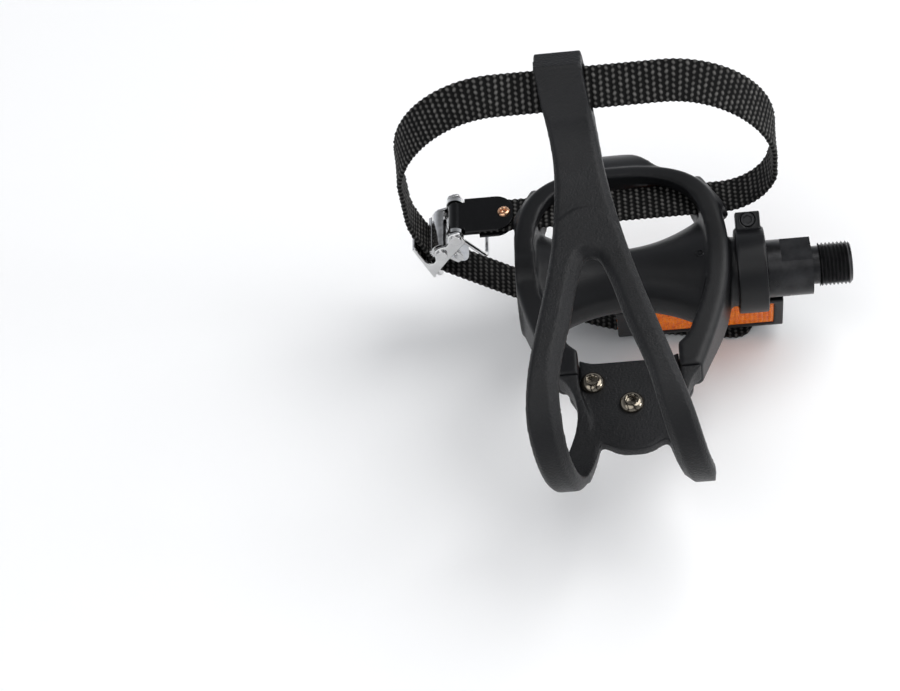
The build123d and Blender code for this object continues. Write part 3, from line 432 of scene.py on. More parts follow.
def black_oxide():
    """Blackened steel: dark, half shiny, with fine turning marks around the spindle."""
    material, tree, shader, coords = new_finish("black_oxide")
    cloud = noise(tree, coords, OXIDE_CLOUDS, detail=4.0)
    tone = ramp(tree, cloud, low=0.3, high=0.75, dark=OXIDE_DARK, light=OXIDE_LIGHT)
    tree.links.new(tone, shader.inputs["Base Color"])
    shader.inputs["Metallic"].default_value = 0.75
    shader.inputs["Specular IOR Level"].default_value = 0.35
    tree.links.new(spread(tree, cloud, low=0.22, high=0.38), shader.inputs["Roughness"])
    marks = tree.nodes.new("ShaderNodeTexWave")
    marks.wave_type = "BANDS"
    marks.bands_direction = "X"
    marks.inputs["Scale"].default_value = TURNING_MARKS
    marks.inputs["Distortion"].default_value = 1.5
    tree.links.new(coords, marks.inputs["Vector"])
    bump(tree, shader, marks.outputs["Fac"], strength=0.25, distance=0.02 * MM)
    return material


BLACK_OXIDE = black_oxide()
print("metal finishes made")

# %% [markdown]
# ## Amber finish
# The lenses are clear amber plastic that throws light back, so they look lit from inside. Little
# would be gained by tracing light through them: a plain glossy orange with paler clouds in it keeps
# its colour in every renderer.

# %% Amber finish
AMBER_DEEP = (0.72, 0.11, 0.002)
AMBER_PALE = (0.95, 0.24, 0.006)
AMBER_CLOUDS = 420.0


def amber():
    """Glossy amber plastic with cloudy depth."""
    material, tree, shader, coords = new_finish("amber_lens")
    depth = noise(tree, coords, AMBER_CLOUDS, detail=2.0)
    tint = ramp(tree, depth, low=0.3, high=0.7, dark=AMBER_DEEP, light=AMBER_PALE)
    tree.links.new(tint, shader.inputs["Base Color"])
    tree.links.new(spread(tree, depth, low=0.14, high=0.24), shader.inputs["Roughness"])
    shader.inputs["Specular IOR Level"].default_value = 0.3
    return material


AMBER_LENS = amber()
print("amber made")

# %% [markdown]
# ## Moulded pieces
# The cage, the clip and the reflector's housing are moulded, so no edge on them is sharp. A bevel
# on a mesh cut into triangles is held back by its shortest edges. A voxel remesh gives an even
# skin instead, and a few rounds of smoothing turn its edges over by about the same small radius.

# %% Skin the mouldings
# Finish, size of a voxel and rounds of smoothing.
MOULDED = {
    "pedal_body": (CAGE_NYLON, 0.6 * MM, 8),
    "toe_clip": (CLIP_NYLON, 0.5 * MM, 8),
    "reflector_bracket": (HOUSING_PLASTIC, 0.4 * MM, 3),
}
moulded = {}
for node, (finish, voxel, rounds) in MOULDED.items():
    moulding = even_skin(mesh_object(node + "_moulded", clean_copy(node)), voxel, rounds)
    moulded[node] = place(moulding, BODY_OF[node], finish, SLOT_OF[node], node)
    print(moulding.name, len(moulding.data.polygons), "faces")

# %% [markdown]
# ## Arched step
# A low arched step crosses the clip above the place where its legs part. It is made by lowering the
# points of the skin that lie just beyond a curve. They go down along their normals, and less so
# towards the head, where the face comes back to its level.

# %% Arched step on the clip
ARCH_MIDDLE = Vector((-74.4, -17.7)) * MM
ARCH_HALF_WIDTH = 7.9 * MM
ARCH_RISE = 3.9 * MM
ARCH_STEP = 0.28 * MM
ARCH_EDGE = 0.5 * MM
ARCH_FADE = 16.0 * MM
FACING_UP = 0.5


def arched_step(made):
    """Lower the clip's top just beyond an arch, and let it come back level towards the head."""
    lowered = 0
    for vert in made.data.vertices:
        away = (vert.co.x - ARCH_MIDDLE.x) / ARCH_HALF_WIDTH
        beyond = vert.co.y - (ARCH_MIDDLE.y - ARCH_RISE * away * away)
        if vert.normal.z > FACING_UP and 0 < beyond < ARCH_FADE:
            share = min(beyond / ARCH_EDGE, 1.0) * (1 - beyond / ARCH_FADE)
            vert.co = vert.co - vert.normal * (ARCH_STEP * share)
            lowered += 1
    return lowered


print("points lowered:", arched_step(moulded["toe_clip"]))

# %% [markdown]
# ## Slim foot
# The foot of the clip's leg on the crank's side is slimmer than the solid. Points past a side line
# are drawn in towards it, and the pull fades out with height, so the leg above keeps its line.

# %% Slim the foot of the clip's leg
TOE_FROM_Y = -72.0 * MM
TOE_SIDE_X = -40.9 * MM
TOE_TRIM_TOP = 19.0 * MM
TOE_TRIM_BLEND = 7.0 * MM
TOE_TRIM_SHARE = 0.85


def slim_toe(made):
    """Draw the foot of the inboard leg in to a side line, and less so the higher it is."""
    drawn_in = 0
    for vert in made.data.vertices:
        past = vert.co.x - TOE_SIDE_X
        if past > 0 and vert.co.y < TOE_FROM_Y and vert.co.z < TOE_TRIM_TOP:
            below = min((TOE_TRIM_TOP - vert.co.z) / TOE_TRIM_BLEND, 1.0)
            vert.co.x -= TOE_TRIM_SHARE * past * below
            drawn_in += 1
    made.data.update()
    return drawn_in


print("points drawn in:", slim_toe(moulded["toe_clip"]))

# %% [markdown]
# ## Rigid pieces
# Most of the other solids keep their shape and only get rounded edges and a finish. The turned
# pieces get slightly wider roundings than the pressed ones.

# %% Finish the solids
SHEET_EDGE = 0.16 * MM
TURNED_EDGE = 0.2 * MM
RIGID = {
    "dust_cap": (CAGE_NYLON, TURNED_EDGE),
    "clamp_screw": (BLACK_OXIDE, TURNED_EDGE),
    "clamp_nut": (BLACK_OXIDE, TURNED_EDGE),
    "nut_plate": (BRIGHT_PLATE, SHEET_EDGE),
    "strap_end_clip": (GLOSSY_BLACK, SHEET_EDGE),
    "cam_lever": (BRIGHT_PLATE, SHEET_EDGE),
    "cam_pin": (BRIGHT_PLATE, SHEET_EDGE),
    "end_bar": (BRIGHT_PLATE, SHEET_EDGE),
    "keeper_loop": (BRIGHT_PLATE, SHEET_EDGE),
    "neck_seal": (SEAL_RUBBER, SHEET_EDGE),
    "neck_bush": (GROUND_STEEL, SHEET_EDGE),
    "bearing_outer": (GROUND_STEEL, SHEET_EDGE),
    "bearing_inner": (GROUND_STEEL, SHEET_EDGE),
    "lock_washer": (GROUND_STEEL, SHEET_EDGE),
    "lock_nut": (GROUND_STEEL, TURNED_EDGE),
}
for node, (finish, edge) in RIGID.items():
    finished_node(node, finish, edge)
print("finished", len(RIGID), "rigid pieces")

# %% [markdown]
# ## Clip bolts
# Three button-head screws hold the clip. One head is turned from a profile: a low dome with a small
# edge, and a hexagon socket whose wall follows six flats. The screws are the same, so Geometry
# Nodes set one on each of three points and give each socket its own turn, as screws stop where they
# stop.

# %% Button-head screw
HEAD_R = 4.0
HEAD_H = 2.2
SHANK_R = 2.0
SOCKET_FLATS = 2.9
SCREW_STEPS = 48
TURNED_SHARP = math.radians(38)
SCREW_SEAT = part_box("clip_bolts")[1].z - HEAD_H * MM
SCREW_TIP = (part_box("clip_bolts")[0].z - SCREW_SEAT) / MM


def socket_radius(angle):
    """Distance from the axis to the wall of the hexagon socket in a direction."""
    sixth = math.pi / 3
    return SOCKET_FLATS / 2 / math.cos((angle + sixth / 2) % sixth - sixth / 2)


def screw_profile(angle):
    """Radius and height down one side of the screw, from the socket's floor to the tip, in mm."""
    wall = socket_radius(angle)
    return [
        (0.1, 1.2), (wall, 1.45), (wall, 1.85), (wall + 0.12, 2.05),
        (2.0, HEAD_H), (2.6, 2.08), (3.2, 1.75), (3.7, 1.2), (3.95, 0.6),
        (HEAD_R, 0.3), (HEAD_R - 0.12, 0.0), (SHANK_R, 0.0),
        (SHANK_R, SCREW_TIP + 0.3), (SHANK_R - 0.3, SCREW_TIP),
    ]


def turned(name, profile, steps):
    """A closed solid turned about Z from a profile that may change with the angle, in mm."""
    shape = bmesh.new()
    rings = []
    for k in range(steps):
        angle = 2 * math.pi * k / steps
        ring = [(r * math.cos(angle), r * math.sin(angle), z) for r, z in profile(angle)]
        rings.append([shape.verts.new(Vector(p) * MM) for p in ring])
    for a, b in zip(rings, rings[1:] + rings[:1]):
        for i in range(len(a) - 1):
            shape.faces.new((a[i], b[i], b[i + 1], a[i + 1]))
    shape.faces.new([ring[0] for ring in rings])
    shape.faces.new([ring[-1] for ring in rings])
    bmesh.ops.recalc_face_normals(shape, faces=shape.faces)
    made = mesh_object(name, shape)
    made.data.shade_smooth()
    made.data.set_sharp_from_angle(angle=TURNED_SHARP)
    return made


screw = turned("one_screw", screw_profile, SCREW_STEPS)
print("screw faces:", len(screw.data.polygons))

# %% Set the screws on their points
SCREW_TURN = 0.37


def new_tree(name, inputs):
    """An empty Geometry Nodes tree with named inputs after the geometry."""
    tree = bpy.data.node_groups.new(name, "GeometryNodeTree")
    tree.interface.new_socket("Geometry", in_out="INPUT", socket_type="NodeSocketGeometry")
    for label, kind in inputs:
        tree.interface.new_socket(label, in_out="INPUT", socket_type=kind)
    tree.interface.new_socket("Geometry", in_out="OUTPUT", socket_type="NodeSocketGeometry")
    return tree, tree.nodes.new("NodeGroupInput"), tree.nodes.new("NodeGroupOutput")


def apply_tree(made, tree, values):
    """Run a tree on an object with its inputs set by identifier, and keep the plain mesh."""
    grown = made.modifiers.new(tree.name, "NODES")
    grown.node_group = tree
    for item in tree.interface.items_tree:
        if item.in_out == "INPUT" and item.name in values:
            grown[item.identifier] = values[item.name]
    return plain_mesh(made)


def screws_on_points():
    """A tree that sets the screw on each point, each turned further than the one before."""
    inputs = [
        ("Screw", "NodeSocketObject"), ("Turn", "NodeSocketFloat"),
        ("Finish", "NodeSocketMaterial"),
    ]
    tree, given, out = new_tree("screws_on_points", inputs)
    add, link = tree.nodes.new, tree.links.new
    info = add("GeometryNodeObjectInfo")
    index = add("GeometryNodeInputIndex")
    turn = add("ShaderNodeMath")
    turn.operation = "MULTIPLY"
    spin = add("ShaderNodeCombineXYZ")
    copies = add("GeometryNodeInstanceOnPoints")
    real = add("GeometryNodeRealizeInstances")
    coat = add("GeometryNodeSetMaterial")
    link(given.outputs["Screw"], info.inputs["Object"])
    link(index.outputs["Index"], turn.inputs[0])
    link(given.outputs["Turn"], turn.inputs[1])
    link(turn.outputs["Value"], spin.inputs["Z"])
    link(given.outputs["Geometry"], copies.inputs["Points"])
    link(info.outputs["Geometry"], copies.inputs["Instance"])
    link(spin.outputs["Vector"], copies.inputs["Rotation"])
    link(copies.outputs["Instances"], real.inputs["Geometry"])
    link(real.outputs["Geometry"], coat.inputs["Geometry"])
    link(given.outputs["Finish"], coat.inputs["Material"])
    link(coat.outputs["Geometry"], out.inputs["Geometry"])
    return tree


low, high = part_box("clip_bolts")
middle_x = (low.x + high.x) / 2
reach = HEAD_R * MM
spots = [
    (low.x + reach, high.y - reach, SCREW_SEAT),
    (high.x - reach, high.y - reach, SCREW_SEAT),
    (middle_x, low.y + reach, SCREW_SEAT),
]
points = bpy.data.meshes.new("clip_screws")
points.from_pydata(spots, [], [])
clip_screws = add_object("clip_screws", points)
values = {"Screw": screw, "Turn": SCREW_TURN, "Finish": DARK_CHROME}
apply_tree(clip_screws, screws_on_points(), values)
bpy.data.objects.remove(screw)
place(clip_screws, "pedal", DARK_CHROME, SLOT_OF["clip_bolts"], "clip_bolts")
print("screws:", len(spots), "faces:", len(clip_screws.data.polygons))

# %% [markdown]
# ## Mark of the ejector pin
# The pin that pushed the cage out of its mould left a round mark on the flare. It is a small ring
# turned from a profile, as the screws are, and set on the nearest place of the cage's skin, along
# the normal there.

# %% Mark of the ejector pin
PIN_MARK_PLACE = Vector((-38.75, -2.16, 13.35)) * MM
PIN_MARK_STEPS = 28
PIN_MARK = [
    (0.15, 0.22), (0.45, 0.22), (0.52, 0.02), (0.90, 0.02),
    (0.98, 0.34), (1.25, 0.34), (1.45, 0.0), (1.2, -0.5),
]


def set_on_skin(made, carrier, spot):
    """Move a piece that stands on its Z axis to the nearest place on a carrier's skin."""
    at, normal = carrier.closest_point_on_mesh(spot)[1:3]
    turn = normal.to_track_quat("Z", "Y").to_matrix().to_4x4()
    made.data.transform(Matrix.Translation(at) @ turn)
    return at


pin_mark = turned("pin_mark", lambda angle: PIN_MARK, PIN_MARK_STEPS)
pin_mark_at = set_on_skin(pin_mark, moulded["pedal_body"], PIN_MARK_PLACE)
place(pin_mark, "pedal", CAGE_NYLON, SLOT_OF["pedal_body"])
print("pin mark at", [round(c, 4) for c in pin_mark_at])

# %% [markdown]
# ## Rivet
# The strap's end clip is held by a hollow rivet. Its rolled rim stands proud as a ring round a
# small dark hole, so it is turned from a profile too, the same on both sides.

# %% Hollow rivet
RIVET_R = 2.2
RIVET_SHANK_R = 1.3
RIVET_STEPS = 32
rivet_low, rivet_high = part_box("strap_rivet")
rivet_middle = (rivet_low + rivet_high) / 2
rivet_half = (rivet_high.z - rivet_low.z) / 2 / MM


def rivet_profile(angle):
    """Radius and height of the rivet in mm, down from its hole over both rims."""
    rim = [
        (0.45, 1.1), (0.75, 0.95), (0.95, 0.3), (1.3, 0.0), (1.75, 0.12), (2.1, 0.45),
        (RIVET_R, 0.9),
    ]
    top = [(r, rivet_half - drop) for r, drop in rim]
    under = top[-1][1]
    shank = [(RIVET_SHANK_R, under), (RIVET_SHANK_R, -under)]
    return top + shank + [(r, -z) for r, z in reversed(top)]


rivet = turned("hollow_rivet", rivet_profile, RIVET_STEPS)
rivet.data.transform(Matrix.Translation(rivet_middle))
place(rivet, "pedal", COPPER_RIVET, SLOT_OF["strap_rivet"], "strap_rivet")
print("rivet at", [round(c, 4) for c in rivet_middle])

# %% [markdown]
# ## Reflector lenses
# Each lens is a plate whose face is a field of small square prisms. The plate is the solid with its
# face set back by the height of a prism, and Geometry Nodes put a low pyramid on each point of a
# grid, so the tips come to where the solid's face is.

# %% Lens plates
LENS_SWING = math.radians(12.8)
LENS_FACE_Y = 6.0 * MM
LENS_X = (-59.1 * MM, -15.1 * MM)
LENS_Z = (-28.35 * MM, -14.35 * MM)
PRISM_PITCH = 1.6 * MM
PRISM_H = 0.4 * MM
PRISM_TIP_R = 0.12 * MM
LENS_EDGE = 0.1 * MM


def lens_plate(node):
    """The lens with its outer face set back by one prism."""
    shape = clean_copy(node)
    upright = Matrix.Rotation(-LENS_SWING, 4, "X")
    shape.transform(upright)
    for vert in shape.verts:
        if abs(vert.co.y) > LENS_FACE_Y - PRISM_H:
            vert.co.y -= math.copysign(PRISM_H, vert.co.y)
    shape.transform(upright.inverted())
    return mesh_object(node + "_plate", shape)


def prism_field():
    """A grid of square pyramids on a flat face, turned and moved into place."""
    inputs = [
        ("Width", "NodeSocketFloat"), ("Height", "NodeSocketFloat"), ("Columns", "NodeSocketInt"),
        ("Rows", "NodeSocketInt"), ("Radius", "NodeSocketFloat"), ("Depth", "NodeSocketFloat"),
        ("Turn", "NodeSocketVector"), ("Place", "NodeSocketVector"),
        ("Finish", "NodeSocketMaterial"),
    ]
    tree, given, out = new_tree("prism_field", inputs)
    add, link = tree.nodes.new, tree.links.new
    grid = add("GeometryNodeMeshGrid")
    prism = add("GeometryNodeMeshCone")
    prism.inputs["Vertices"].default_value = 4
    prism.inputs["Radius Top"].default_value = PRISM_TIP_R
    copies = add("GeometryNodeInstanceOnPoints")
    copies.inputs["Rotation"].default_value = (0, 0, math.pi / 4)
    real = add("GeometryNodeRealizeInstances")
    moved = add("GeometryNodeTransform")
    coat = add("GeometryNodeSetMaterial")
    link(given.outputs["Width"], grid.inputs["Size X"])
    link(given.outputs["Height"], grid.inputs["Size Y"])
    link(given.outputs["Columns"], grid.inputs["Vertices X"])
    link(given.outputs["Rows"], grid.inputs["Vertices Y"])
    link(given.outputs["Radius"], prism.inputs["Radius Bottom"])
    link(given.outputs["Depth"], prism.inputs["Depth"])
    link(grid.outputs["Mesh"], copies.inputs["Points"])
    link(prism.outputs["Mesh"], copies.inputs["Instance"])
    link(copies.outputs["Instances"], real.inputs["Geometry"])
    link(real.outputs["Geometry"], moved.inputs["Geometry"])
    link(given.outputs["Turn"], moved.inputs["Rotation"])
    link(given.outputs["Place"], moved.inputs["Translation"])
    link(moved.outputs["Geometry"], coat.inputs["Geometry"])
    link(given.outputs["Finish"], coat.inputs["Material"])
    link(coat.outputs["Geometry"], out.inputs["Geometry"])
    return tree


print("prism pitch", PRISM_PITCH / MM, "mm")

# %% Prisms on both lenses
PRISM_TREE = prism_field()
lens_middle = Vector(((LENS_X[0] + LENS_X[1]) / 2, 0, (LENS_Z[0] + LENS_Z[1]) / 2))
columns = int((LENS_X[1] - LENS_X[0]) / PRISM_PITCH)
rows = int((LENS_Z[1] - LENS_Z[0]) / PRISM_PITCH)
for node, facing in (("front_lens", -1), ("rear_lens", 1)):
    plate = round_edges(lens_plate(node), LENS_EDGE)
    place(plate, "pedal", AMBER_LENS, SLOT_OF[node], node)
    face = lens_middle + Vector((0, facing * LENS_FACE_Y, 0))
    prisms = add_object(node + "_prisms", bpy.data.meshes.new(node + "_prisms"))
    apply_tree(prisms, PRISM_TREE, {
        "Width": (columns - 1) * PRISM_PITCH,
        "Height": (rows - 1) * PRISM_PITCH,
        "Columns": columns,
        "Rows": rows,
        "Radius": PRISM_PITCH / math.sqrt(2),
        "Depth": PRISM_H,
        "Turn": (LENS_SWING - facing * math.pi / 2, 0.0, 0.0),
        "Place": Matrix.Rotation(LENS_SWING, 3, "X") @ (face - Vector((0, facing * PRISM_H, 0))),
        "Finish": AMBER_LENS,
    })
    place(prisms, "pedal", AMBER_LENS, SLOT_OF[node])
    print(prisms.name, columns, "x", rows, "prisms")

# %% [markdown]
# ## Spindle with its cut thread
# The solid has a plain cylinder where the crank thread is. Here the thread is a ring of points
# wound as a helix: each row of points sits on a crest, a root or a flank, and climbs one pitch a
# turn, so the crests stay sharp with few faces. It is the usual 9/16 inch thread with 20 turns to
# the inch. The rest of the spindle is the solid's own mesh, cut off where the thread starts.

# %% Thread
THREAD_R = 14.29 / 2 * MM
THREAD_PITCH = 25.4 / 20 * MM
THREAD_DEPTH = 0.72 * MM
THREAD_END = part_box("spindle")[1].x
THREAD_CHAMFER = 1.0 * MM
THREAD_START = -0.01 * MM
THREAD_MERGE = 1e-7
THREAD_SHARP = math.radians(30)
FLATS_TURN = math.radians(29.0)
ROUND_STEPS = 64
ROWS_PER_PITCH = 4


def thread_point(row, step):
    """A point of the helix, lowest halfway between two crests and held between the ends."""
    turn = step / ROUND_STEPS
    x = (row / ROWS_PER_PITCH + turn - 1) * THREAD_PITCH
    x = min(max(x, 0.0), THREAD_END)
    share = (row % ROWS_PER_PITCH) / ROWS_PER_PITCH
    depth = (1 - abs(2 * share - 1)) * THREAD_DEPTH
    radius = min(THREAD_R - depth, THREAD_R + THREAD_END - THREAD_CHAMFER - x)
    angle = 2 * math.pi * turn
    return Vector((x, radius * math.cos(angle), radius * math.sin(angle)))


def threaded_spindle():
    """The solid cut off where the thread starts, with the wound thread in its place."""
    shape = clean_copy("spindle")
    everything = shape.verts[:] + shape.edges[:] + shape.faces[:]
    bmesh.ops.bisect_plane(
        shape, geom=everything, plane_co=(THREAD_START, 0, 0), plane_no=(1, 0, 0), clear_outer=True
    )
    rows = round((THREAD_END / THREAD_PITCH + 2) * ROWS_PER_PITCH)
    grid = [[shape.verts.new(thread_point(r, s)) for s in range(ROUND_STEPS)] for r in range(rows)]
    for r in range(rows - ROWS_PER_PITCH - 1):
        for s in range(ROUND_STEPS):
            if s < ROUND_STEPS - 1:
                corners = [grid[r][s], grid[r + 1][s], grid[r + 1][s + 1], grid[r][s + 1]]
            else:
                after = r + ROWS_PER_PITCH
                corners = [grid[r][s], grid[r + 1][s], grid[after + 1][0], grid[after][0]]
            if len({tuple(round(c, 7) for c in v.co) for v in corners}) > 2:
                shape.faces.new(corners)
    loose = [v for v in shape.verts if not v.link_faces]
    bmesh.ops.delete(shape, geom=loose, context="VERTS")
    bmesh.ops.remove_doubles(shape, verts=shape.verts, dist=THREAD_MERGE)
    bmesh.ops.holes_fill(shape, edges=[e for e in shape.edges if e.is_boundary], sides=0)
    bmesh.ops.recalc_face_normals(shape, faces=shape.faces)
    return mesh_object("spindle_threaded", shape)


spindle = threaded_spindle()
spindle.data.transform(Matrix.Rotation(FLATS_TURN, 4, "X"))
spindle.data.shade_smooth()
spindle.data.set_sharp_from_angle(angle=THREAD_SHARP)
place(spindle, "spindle", BLACK_OXIDE, "spindle_steel", "spindle")
print("thread turns:", round(THREAD_END / THREAD_PITCH, 1))

# %% [markdown]
# ## Webbing strap
# The strap is a flat tube of black polyester, woven so that knobs of yarn stand in staggered
# columns across it. Its line is the same as the solid's: out of the end clip, through both slots
# of the cage, up round the shoe, through the head of the clip, down through the buckle and back
# under the cage, where its free end is cut round. A fine grid follows that line, and each point is
# lifted by the weave, so the knobs are real and also show along the strap's edges.

# %% Route of the strap
STRAP_W = 14.2 * MM
STRAP_T = 2.0 * MM
STRAP_LEVEL = 11.5 * MM
STRAP_Y = 23.4 * MM
TUNNEL_Y = 18.6 * MM
TUNNEL_TILT = math.radians(38.0)
TAIL_END_Y = 5.0 * MM
LOOP_TOP = 61.5 * MM
BAR_X = -119.0 * MM
BUCKLE_TILT = math.radians(20.0)
STRAP_IN_BUCKLE = -13.0 * MM
TURN_HEIGHT = -13.0 * MM
TAIL_SLOPE = math.radians(28.0)
REST_HEIGHT = -45.7 * MM
START_TO_BAR = 8.05 * MM
START_X = BAR_X + START_TO_BAR
INBOARD_X = -12.5 * MM
OUTBOARD_X = -134.2 * MM
TAIL_X = -22.0 * MM


def in_buckle(height):
    """A place on the strap inside the tilted buckle, a height above the end bar's level."""
    x = BAR_X + STRAP_IN_BUCKLE * math.cos(BUCKLE_TILT) - height * math.sin(BUCKLE_TILT)
    return x, STRAP_IN_BUCKLE * math.sin(BUCKLE_TILT) + height * math.cos(BUCKLE_TILT)


LEVEL_X, LEVEL_Z = in_buckle(0)
BOW_Z = LEVEL_Z + (LEVEL_X - OUTBOARD_X) / math.tan(BUCKLE_TILT)
TURN_X, TURN_Z = in_buckle(TURN_HEIGHT)
REST_X = TURN_X + (TURN_Z - REST_HEIGHT) / math.tan(TAIL_SLOPE)
# Place along X, height above the strap's level and radius of each corner.
ROUTE = [
    (START_X, 0, 0),
    (INBOARD_X, 0, 18 * MM),
    (INBOARD_X, LOOP_TOP, 35 * MM),
    (OUTBOARD_X, LOOP_TOP, 35 * MM),
    (OUTBOARD_X, BOW_Z, 30 * MM),
    (TURN_X, TURN_Z, 8 * MM),
    (REST_X, REST_HEIGHT, 60 * MM),
    (TAIL_X, REST_HEIGHT, 0),
]
print("corners of the route:", len(ROUTE))

# %% Points along the route
WEAVE_STEP = 0.36 * MM


def rounded_route(corners, step):
    """Points along straight runs joined by arcs, about a step apart."""
    points = [Vector(corners[0][:2])]
    for before, corner, after in zip(corners, corners[1:], corners[2:]):
        here = Vector(corner[:2])
        into = (here - Vector(before[:2])).normalized()
        out = (Vector(after[:2]) - here).normalized()
        turn = into.angle_signed(out)
        reach = corner[2] * math.tan(abs(turn) / 2)
        start = here - into * reach
        count = max(2, round(corner[2] * abs(turn) / step))
        side = Vector((-into.y, into.x)) * (-1 if turn > 0 else 1)
        centre = start + side * corner[2]
        points.append(start)
        for i in range(1, count + 1):
            spin = Matrix.Rotation(-turn * i / count, 2)
            points.append(centre + spin @ (start - centre))
    points.append(Vector(corners[-1][:2]))
    return points


def even(points, step):
    """The same line with points an even step apart."""
    line = np.array([tuple(p) for p in points])
    lengths = np.concatenate([[0], np.cumsum(np.linalg.norm(np.diff(line, axis=0), axis=1))])
    where = np.arange(0, lengths[-1], step)
    return np.column_stack([np.interp(where, lengths, line[:, k]) for k in range(2)]), where


route, distance = even(rounded_route(ROUTE, WEAVE_STEP), WEAVE_STEP)
print("strap length", round(distance[-1] / MM), "mm in", len(route), "steps")

# %% Weave
COLUMN_PITCH = 2.05 * MM
ROW_PITCH = 1.8 * MM
KNOB_WAIST = 0.42
RIDGE_POWER = 0.8
YARN_SLANT = 0.10 * MM
# The least share of the painted highlight that a knob gets.
LEAST_HIGHLIGHT_SHARE = 0.7
LUCK_COLUMN, LUCK_ROW, LUCK_SCALE = 12.9898, 78.233, 43758.5453


def ridge(along):
    """Height of a column of knobs, 0 in the gap between two columns and 1 along its middle."""
    return math.cos(math.pi * along / COLUMN_PITCH) ** 2


def knob(along, across):
    """Height of the weave at a place on the strap, and how much painted highlight it has there.

    Each column is a chain of knobs, staggered against its neighbours. The yarn runs slantwise over
    each knob, and no two knobs catch the light alike.
    """
    along = along + YARN_SLANT * math.sin(2 * math.pi * across / ROW_PITCH)
    column = math.floor(along / COLUMN_PITCH + 0.5)
    row = across / ROW_PITCH + 0.5 * (column % 2)
    bead = 0.5 + 0.5 * math.cos(2 * math.pi * row)
    height = ridge(along) ** RIDGE_POWER * (KNOB_WAIST + (1 - KNOB_WAIST) * bead)
    # The painted highlight on a knob follows its height, with a random share for each knob.
    luck = math.sin(LUCK_COLUMN * column + LUCK_ROW * math.floor(row + 0.5)) * LUCK_SCALE
    return height, height * (LEAST_HIGHLIGHT_SHARE + (1 - LEAST_HIGHLIGHT_SHARE) * (luck - math.floor(luck)))


print("knobs", COLUMN_PITCH / MM, "mm apart along the strap and", ROW_PITCH / MM, "across it")

# %% Woven strap
KNOB_HEIGHT = 0.26 * MM
EDGE_KNOB = 0.6
TILT_FROM = 9.0 * MM
TILT_FULL = 26.5 * MM
FLAT_HALF = STRAP_W / 2 - STRAP_T / 2
ACROSS = 34
EDGE_ROUND = 3
TAIL_CUT = 0.97


def smooth_step(t):
    """A share that leaves 0 and comes to 1 without a kink."""
    t = min(max(t, 0.0), 1.0)
    return t * t * (3 - 2 * t)


def strap_frame(i):
    """Middle, width direction and outward direction of the strap at one step."""
    x, height = route[i]
    ahead = route[min(i + 1, len(route) - 1)] - route[max(i - 1, 0)]
    along = Vector((ahead[0], 0, ahead[1])).normalized()
    share = smooth_step(height / LOOP_TOP)
    y = STRAP_Y + (TUNNEL_Y - STRAP_Y) * share
    if height < TURN_Z:
        y += (TAIL_END_Y - STRAP_Y) * max(0.0, (x - TURN_X) / (TAIL_X - TURN_X))
    tilt = TUNNEL_TILT * smooth_step((height - TILT_FROM) / (TILT_FULL - TILT_FROM))
    width = Vector((0, math.cos(tilt), math.sin(tilt)))
    width = (width - along * width.dot(along)).normalized()
    return Vector((x, y, STRAP_LEVEL + height)), width, along.cross(width)


def tail_share(along):
    """How wide the strap is at a place, as a share: its free end is cut round."""
    past = (along - distance[-1] + STRAP_W / 2) / (STRAP_W / 2)
    return math.sqrt(1 - min(max(past, 0.0), TAIL_CUT) ** 2)


def section():
    """Round one section: the face's side, and the place across it or the angle round its edge."""
    ring = []
    for side in (1, -1):
        ring += [(side, side * FLAT_HALF * (1 - 2 * k / ACROSS), None) for k in range(ACROSS + 1)]
        ring += [(side, None, math.pi * k / EDGE_ROUND) for k in range(1, EDGE_ROUND)]
    return ring


def half_thickness(height):
    """Half of the strap's thickness where the weave has a height."""
    return STRAP_T / 2 - KNOB_HEIGHT + KNOB_HEIGHT * (2 * height - 1)


def woven_place(along, side, across, angle):
    """How far across and outward a place of the section is, and its painted highlight."""
    if angle is None:
        height, painted_highlight = knob(along, side * across)
        return across, side * half_thickness(height), painted_highlight
    # On the rounded edges the painted highlight follows the ridge, and the same value sets the
    # height.
    painted_highlight = EDGE_KNOB * ridge(along)
    reach = half_thickness(painted_highlight)
    return -side * (FLAT_HALF + reach * math.sin(angle)), side * reach * math.cos(angle), painted_highlight


def woven_strap():
    """A closed tube along the route, with its painted highlight kept as an attribute."""
    shape = bmesh.new()
    knobs = shape.verts.layers.float.new("knob")
    ring = section()
    rows = []
    for i, along in enumerate(distance):
        middle, width, out = strap_frame(i)
        share = tail_share(along)
        row = []
        for spot in ring:
            across, lift, painted_highlight = woven_place(along, *spot)
            vert = shape.verts.new(middle + width * across * share + out * lift)
            vert[knobs] = painted_highlight
            row.append(vert)
        rows.append(row)
    count = len(ring)
    for a, b in zip(rows, rows[1:]):
        for k in range(count):
            shape.faces.new((a[k], a[(k + 1) % count], b[(k + 1) % count], b[k]))
    shape.faces.new(reversed(rows[0]))
    shape.faces.new(rows[-1])
    bmesh.ops.recalc_face_normals(shape, faces=shape.faces)
    return mesh_object("strap_webbing", shape)


strap = woven_strap()
strap.data.shade_smooth()
print("webbing faces:", len(strap.data.polygons))

# %% Webbing finish
# The yarn's own black, deepened to painted shade in the grooves, and a painted highlight on the
# knob tops.
YARN_BLACK_AND_GROOVE_SHADE = (0.003, 0.003, 0.003)
KNOB_TOP_HIGHLIGHT = (0.14, 0.136, 0.130)
FIBRES = 1500.0


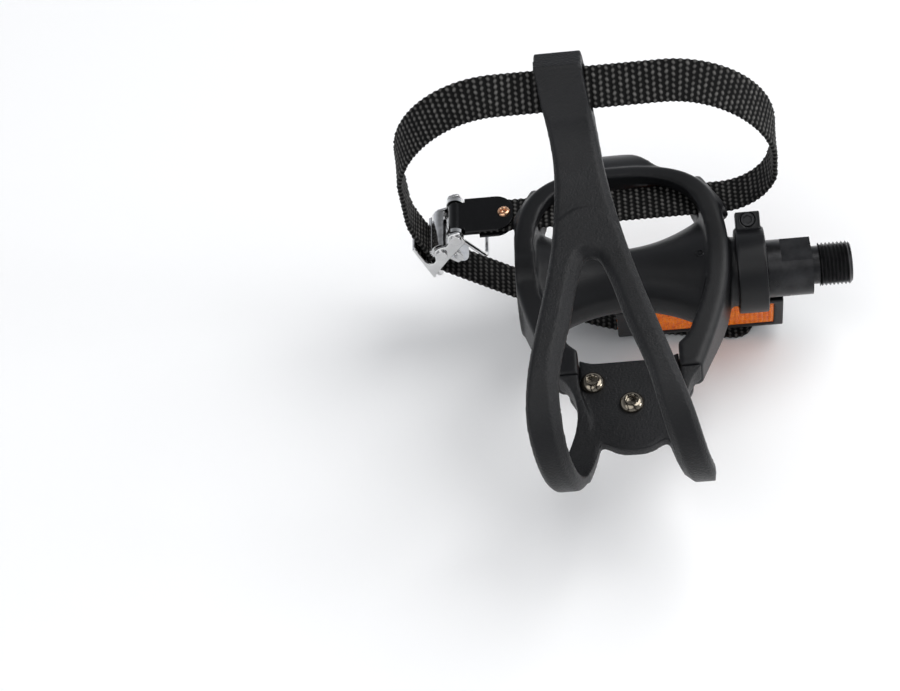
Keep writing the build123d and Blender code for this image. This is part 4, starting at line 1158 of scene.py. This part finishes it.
def webbing():
    """Black yarn with a painted highlight on the tops of the knobs, fine fibres and a soft sheen.
    """
    material, tree, shader, coords = new_finish("webbing")
    painted_highlight = tree.nodes.new("ShaderNodeAttribute")
    painted_highlight.attribute_name = "knob"
    fibre = noise(tree, coords, FIBRES, detail=2.0)
    tops = ramp(tree, painted_highlight.outputs["Fac"], low=0.30, high=0.95, dark=YARN_BLACK_AND_GROOVE_SHADE, light=KNOB_TOP_HIGHLIGHT)
    tree.links.new(tops, shader.inputs["Base Color"])
    shader.inputs["Roughness"].default_value = 0.6
    shader.inputs["Specular IOR Level"].default_value = 0.09
    bump(tree, shader, fibre, strength=0.5, distance=0.05 * MM)
    return material


place(strap, "pedal", webbing(), "webbing", "strap")
print("strap placed")

# %% [markdown]
# ## Buckle frame
# The buckle is a channel pressed from one sheet. Its cheeks are cut down between the back and the
# ears that carry the pin and the bar, so the strap shows inside it. The cut is one outline pushed
# through both cheeks with a Boolean, and the even skin then rounds its edges as plating does.

# %% Cut the cheeks
CHEEK_CUT = [
    (-14.2, 5.0), (-14.2, -5.5), (-13.6, -6.9), (-12.2, -7.6), (-10.9, -6.8), (-10.3, -5.0),
    (-9.9, -3.3), (-8.9, -2.1), (-7.5, -1.6), (-6.0, -1.7), (-4.5, -1.8), (-3.2, -1.0),
    (-2.7, 0.2), (-2.4, 1.3), (-1.8, 2.2), (-0.9, 2.9), (-0.9, 5.0),
]
CHEEK_INSIDE = 7.7
CHEEK_OUTSIDE = 9.6
SHEET_VOXEL = 0.2 * MM
SHEET_ROUNDS = 8


def buckle_point(x, height, side):
    """A point of the tilted buckle, in mm from the end bar's middle."""
    across = x * math.cos(BUCKLE_TILT) - height * math.sin(BUCKLE_TILT)
    up = x * math.sin(BUCKLE_TILT) + height * math.cos(BUCKLE_TILT)
    return Vector((BAR_X, STRAP_Y, STRAP_LEVEL)) + Vector((across, side, up)) * MM


def cheek_cutter():
    """Two closed blocks of the cut's outline, one through each cheek."""
    shape = bmesh.new()
    for side in (-1, 1):
        near = [shape.verts.new(buckle_point(x, h, side * CHEEK_INSIDE)) for x, h in CHEEK_CUT]
        far = [shape.verts.new(buckle_point(x, h, side * CHEEK_OUTSIDE)) for x, h in CHEEK_CUT]
        shape.faces.new(near)
        shape.faces.new(far)
        for k in range(len(near)):
            shape.faces.new((near[k - 1], near[k], far[k], far[k - 1]))
    bmesh.ops.recalc_face_normals(shape, faces=shape.faces)
    return mesh_object("cheek_cutter", shape)


buckle = mesh_object("buckle_frame_pressed", clean_copy("buckle_frame"))
cutter = cheek_cutter()
cut = buckle.modifiers.new("cheek_cut", "BOOLEAN")
cut.operation = "DIFFERENCE"
cut.object = cutter
even_skin(buckle, SHEET_VOXEL, SHEET_ROUNDS)
bpy.data.objects.remove(cutter)
place(buckle, "pedal", BRIGHT_PLATE, SLOT_OF["buckle_frame"], "buckle_frame")
print("buckle faces:", len(buckle.data.polygons))

# %% [markdown]
# ## Sizes
# The last cell works out the box of the finished pieces.

# %% Box of the finished pieces
low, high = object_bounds()
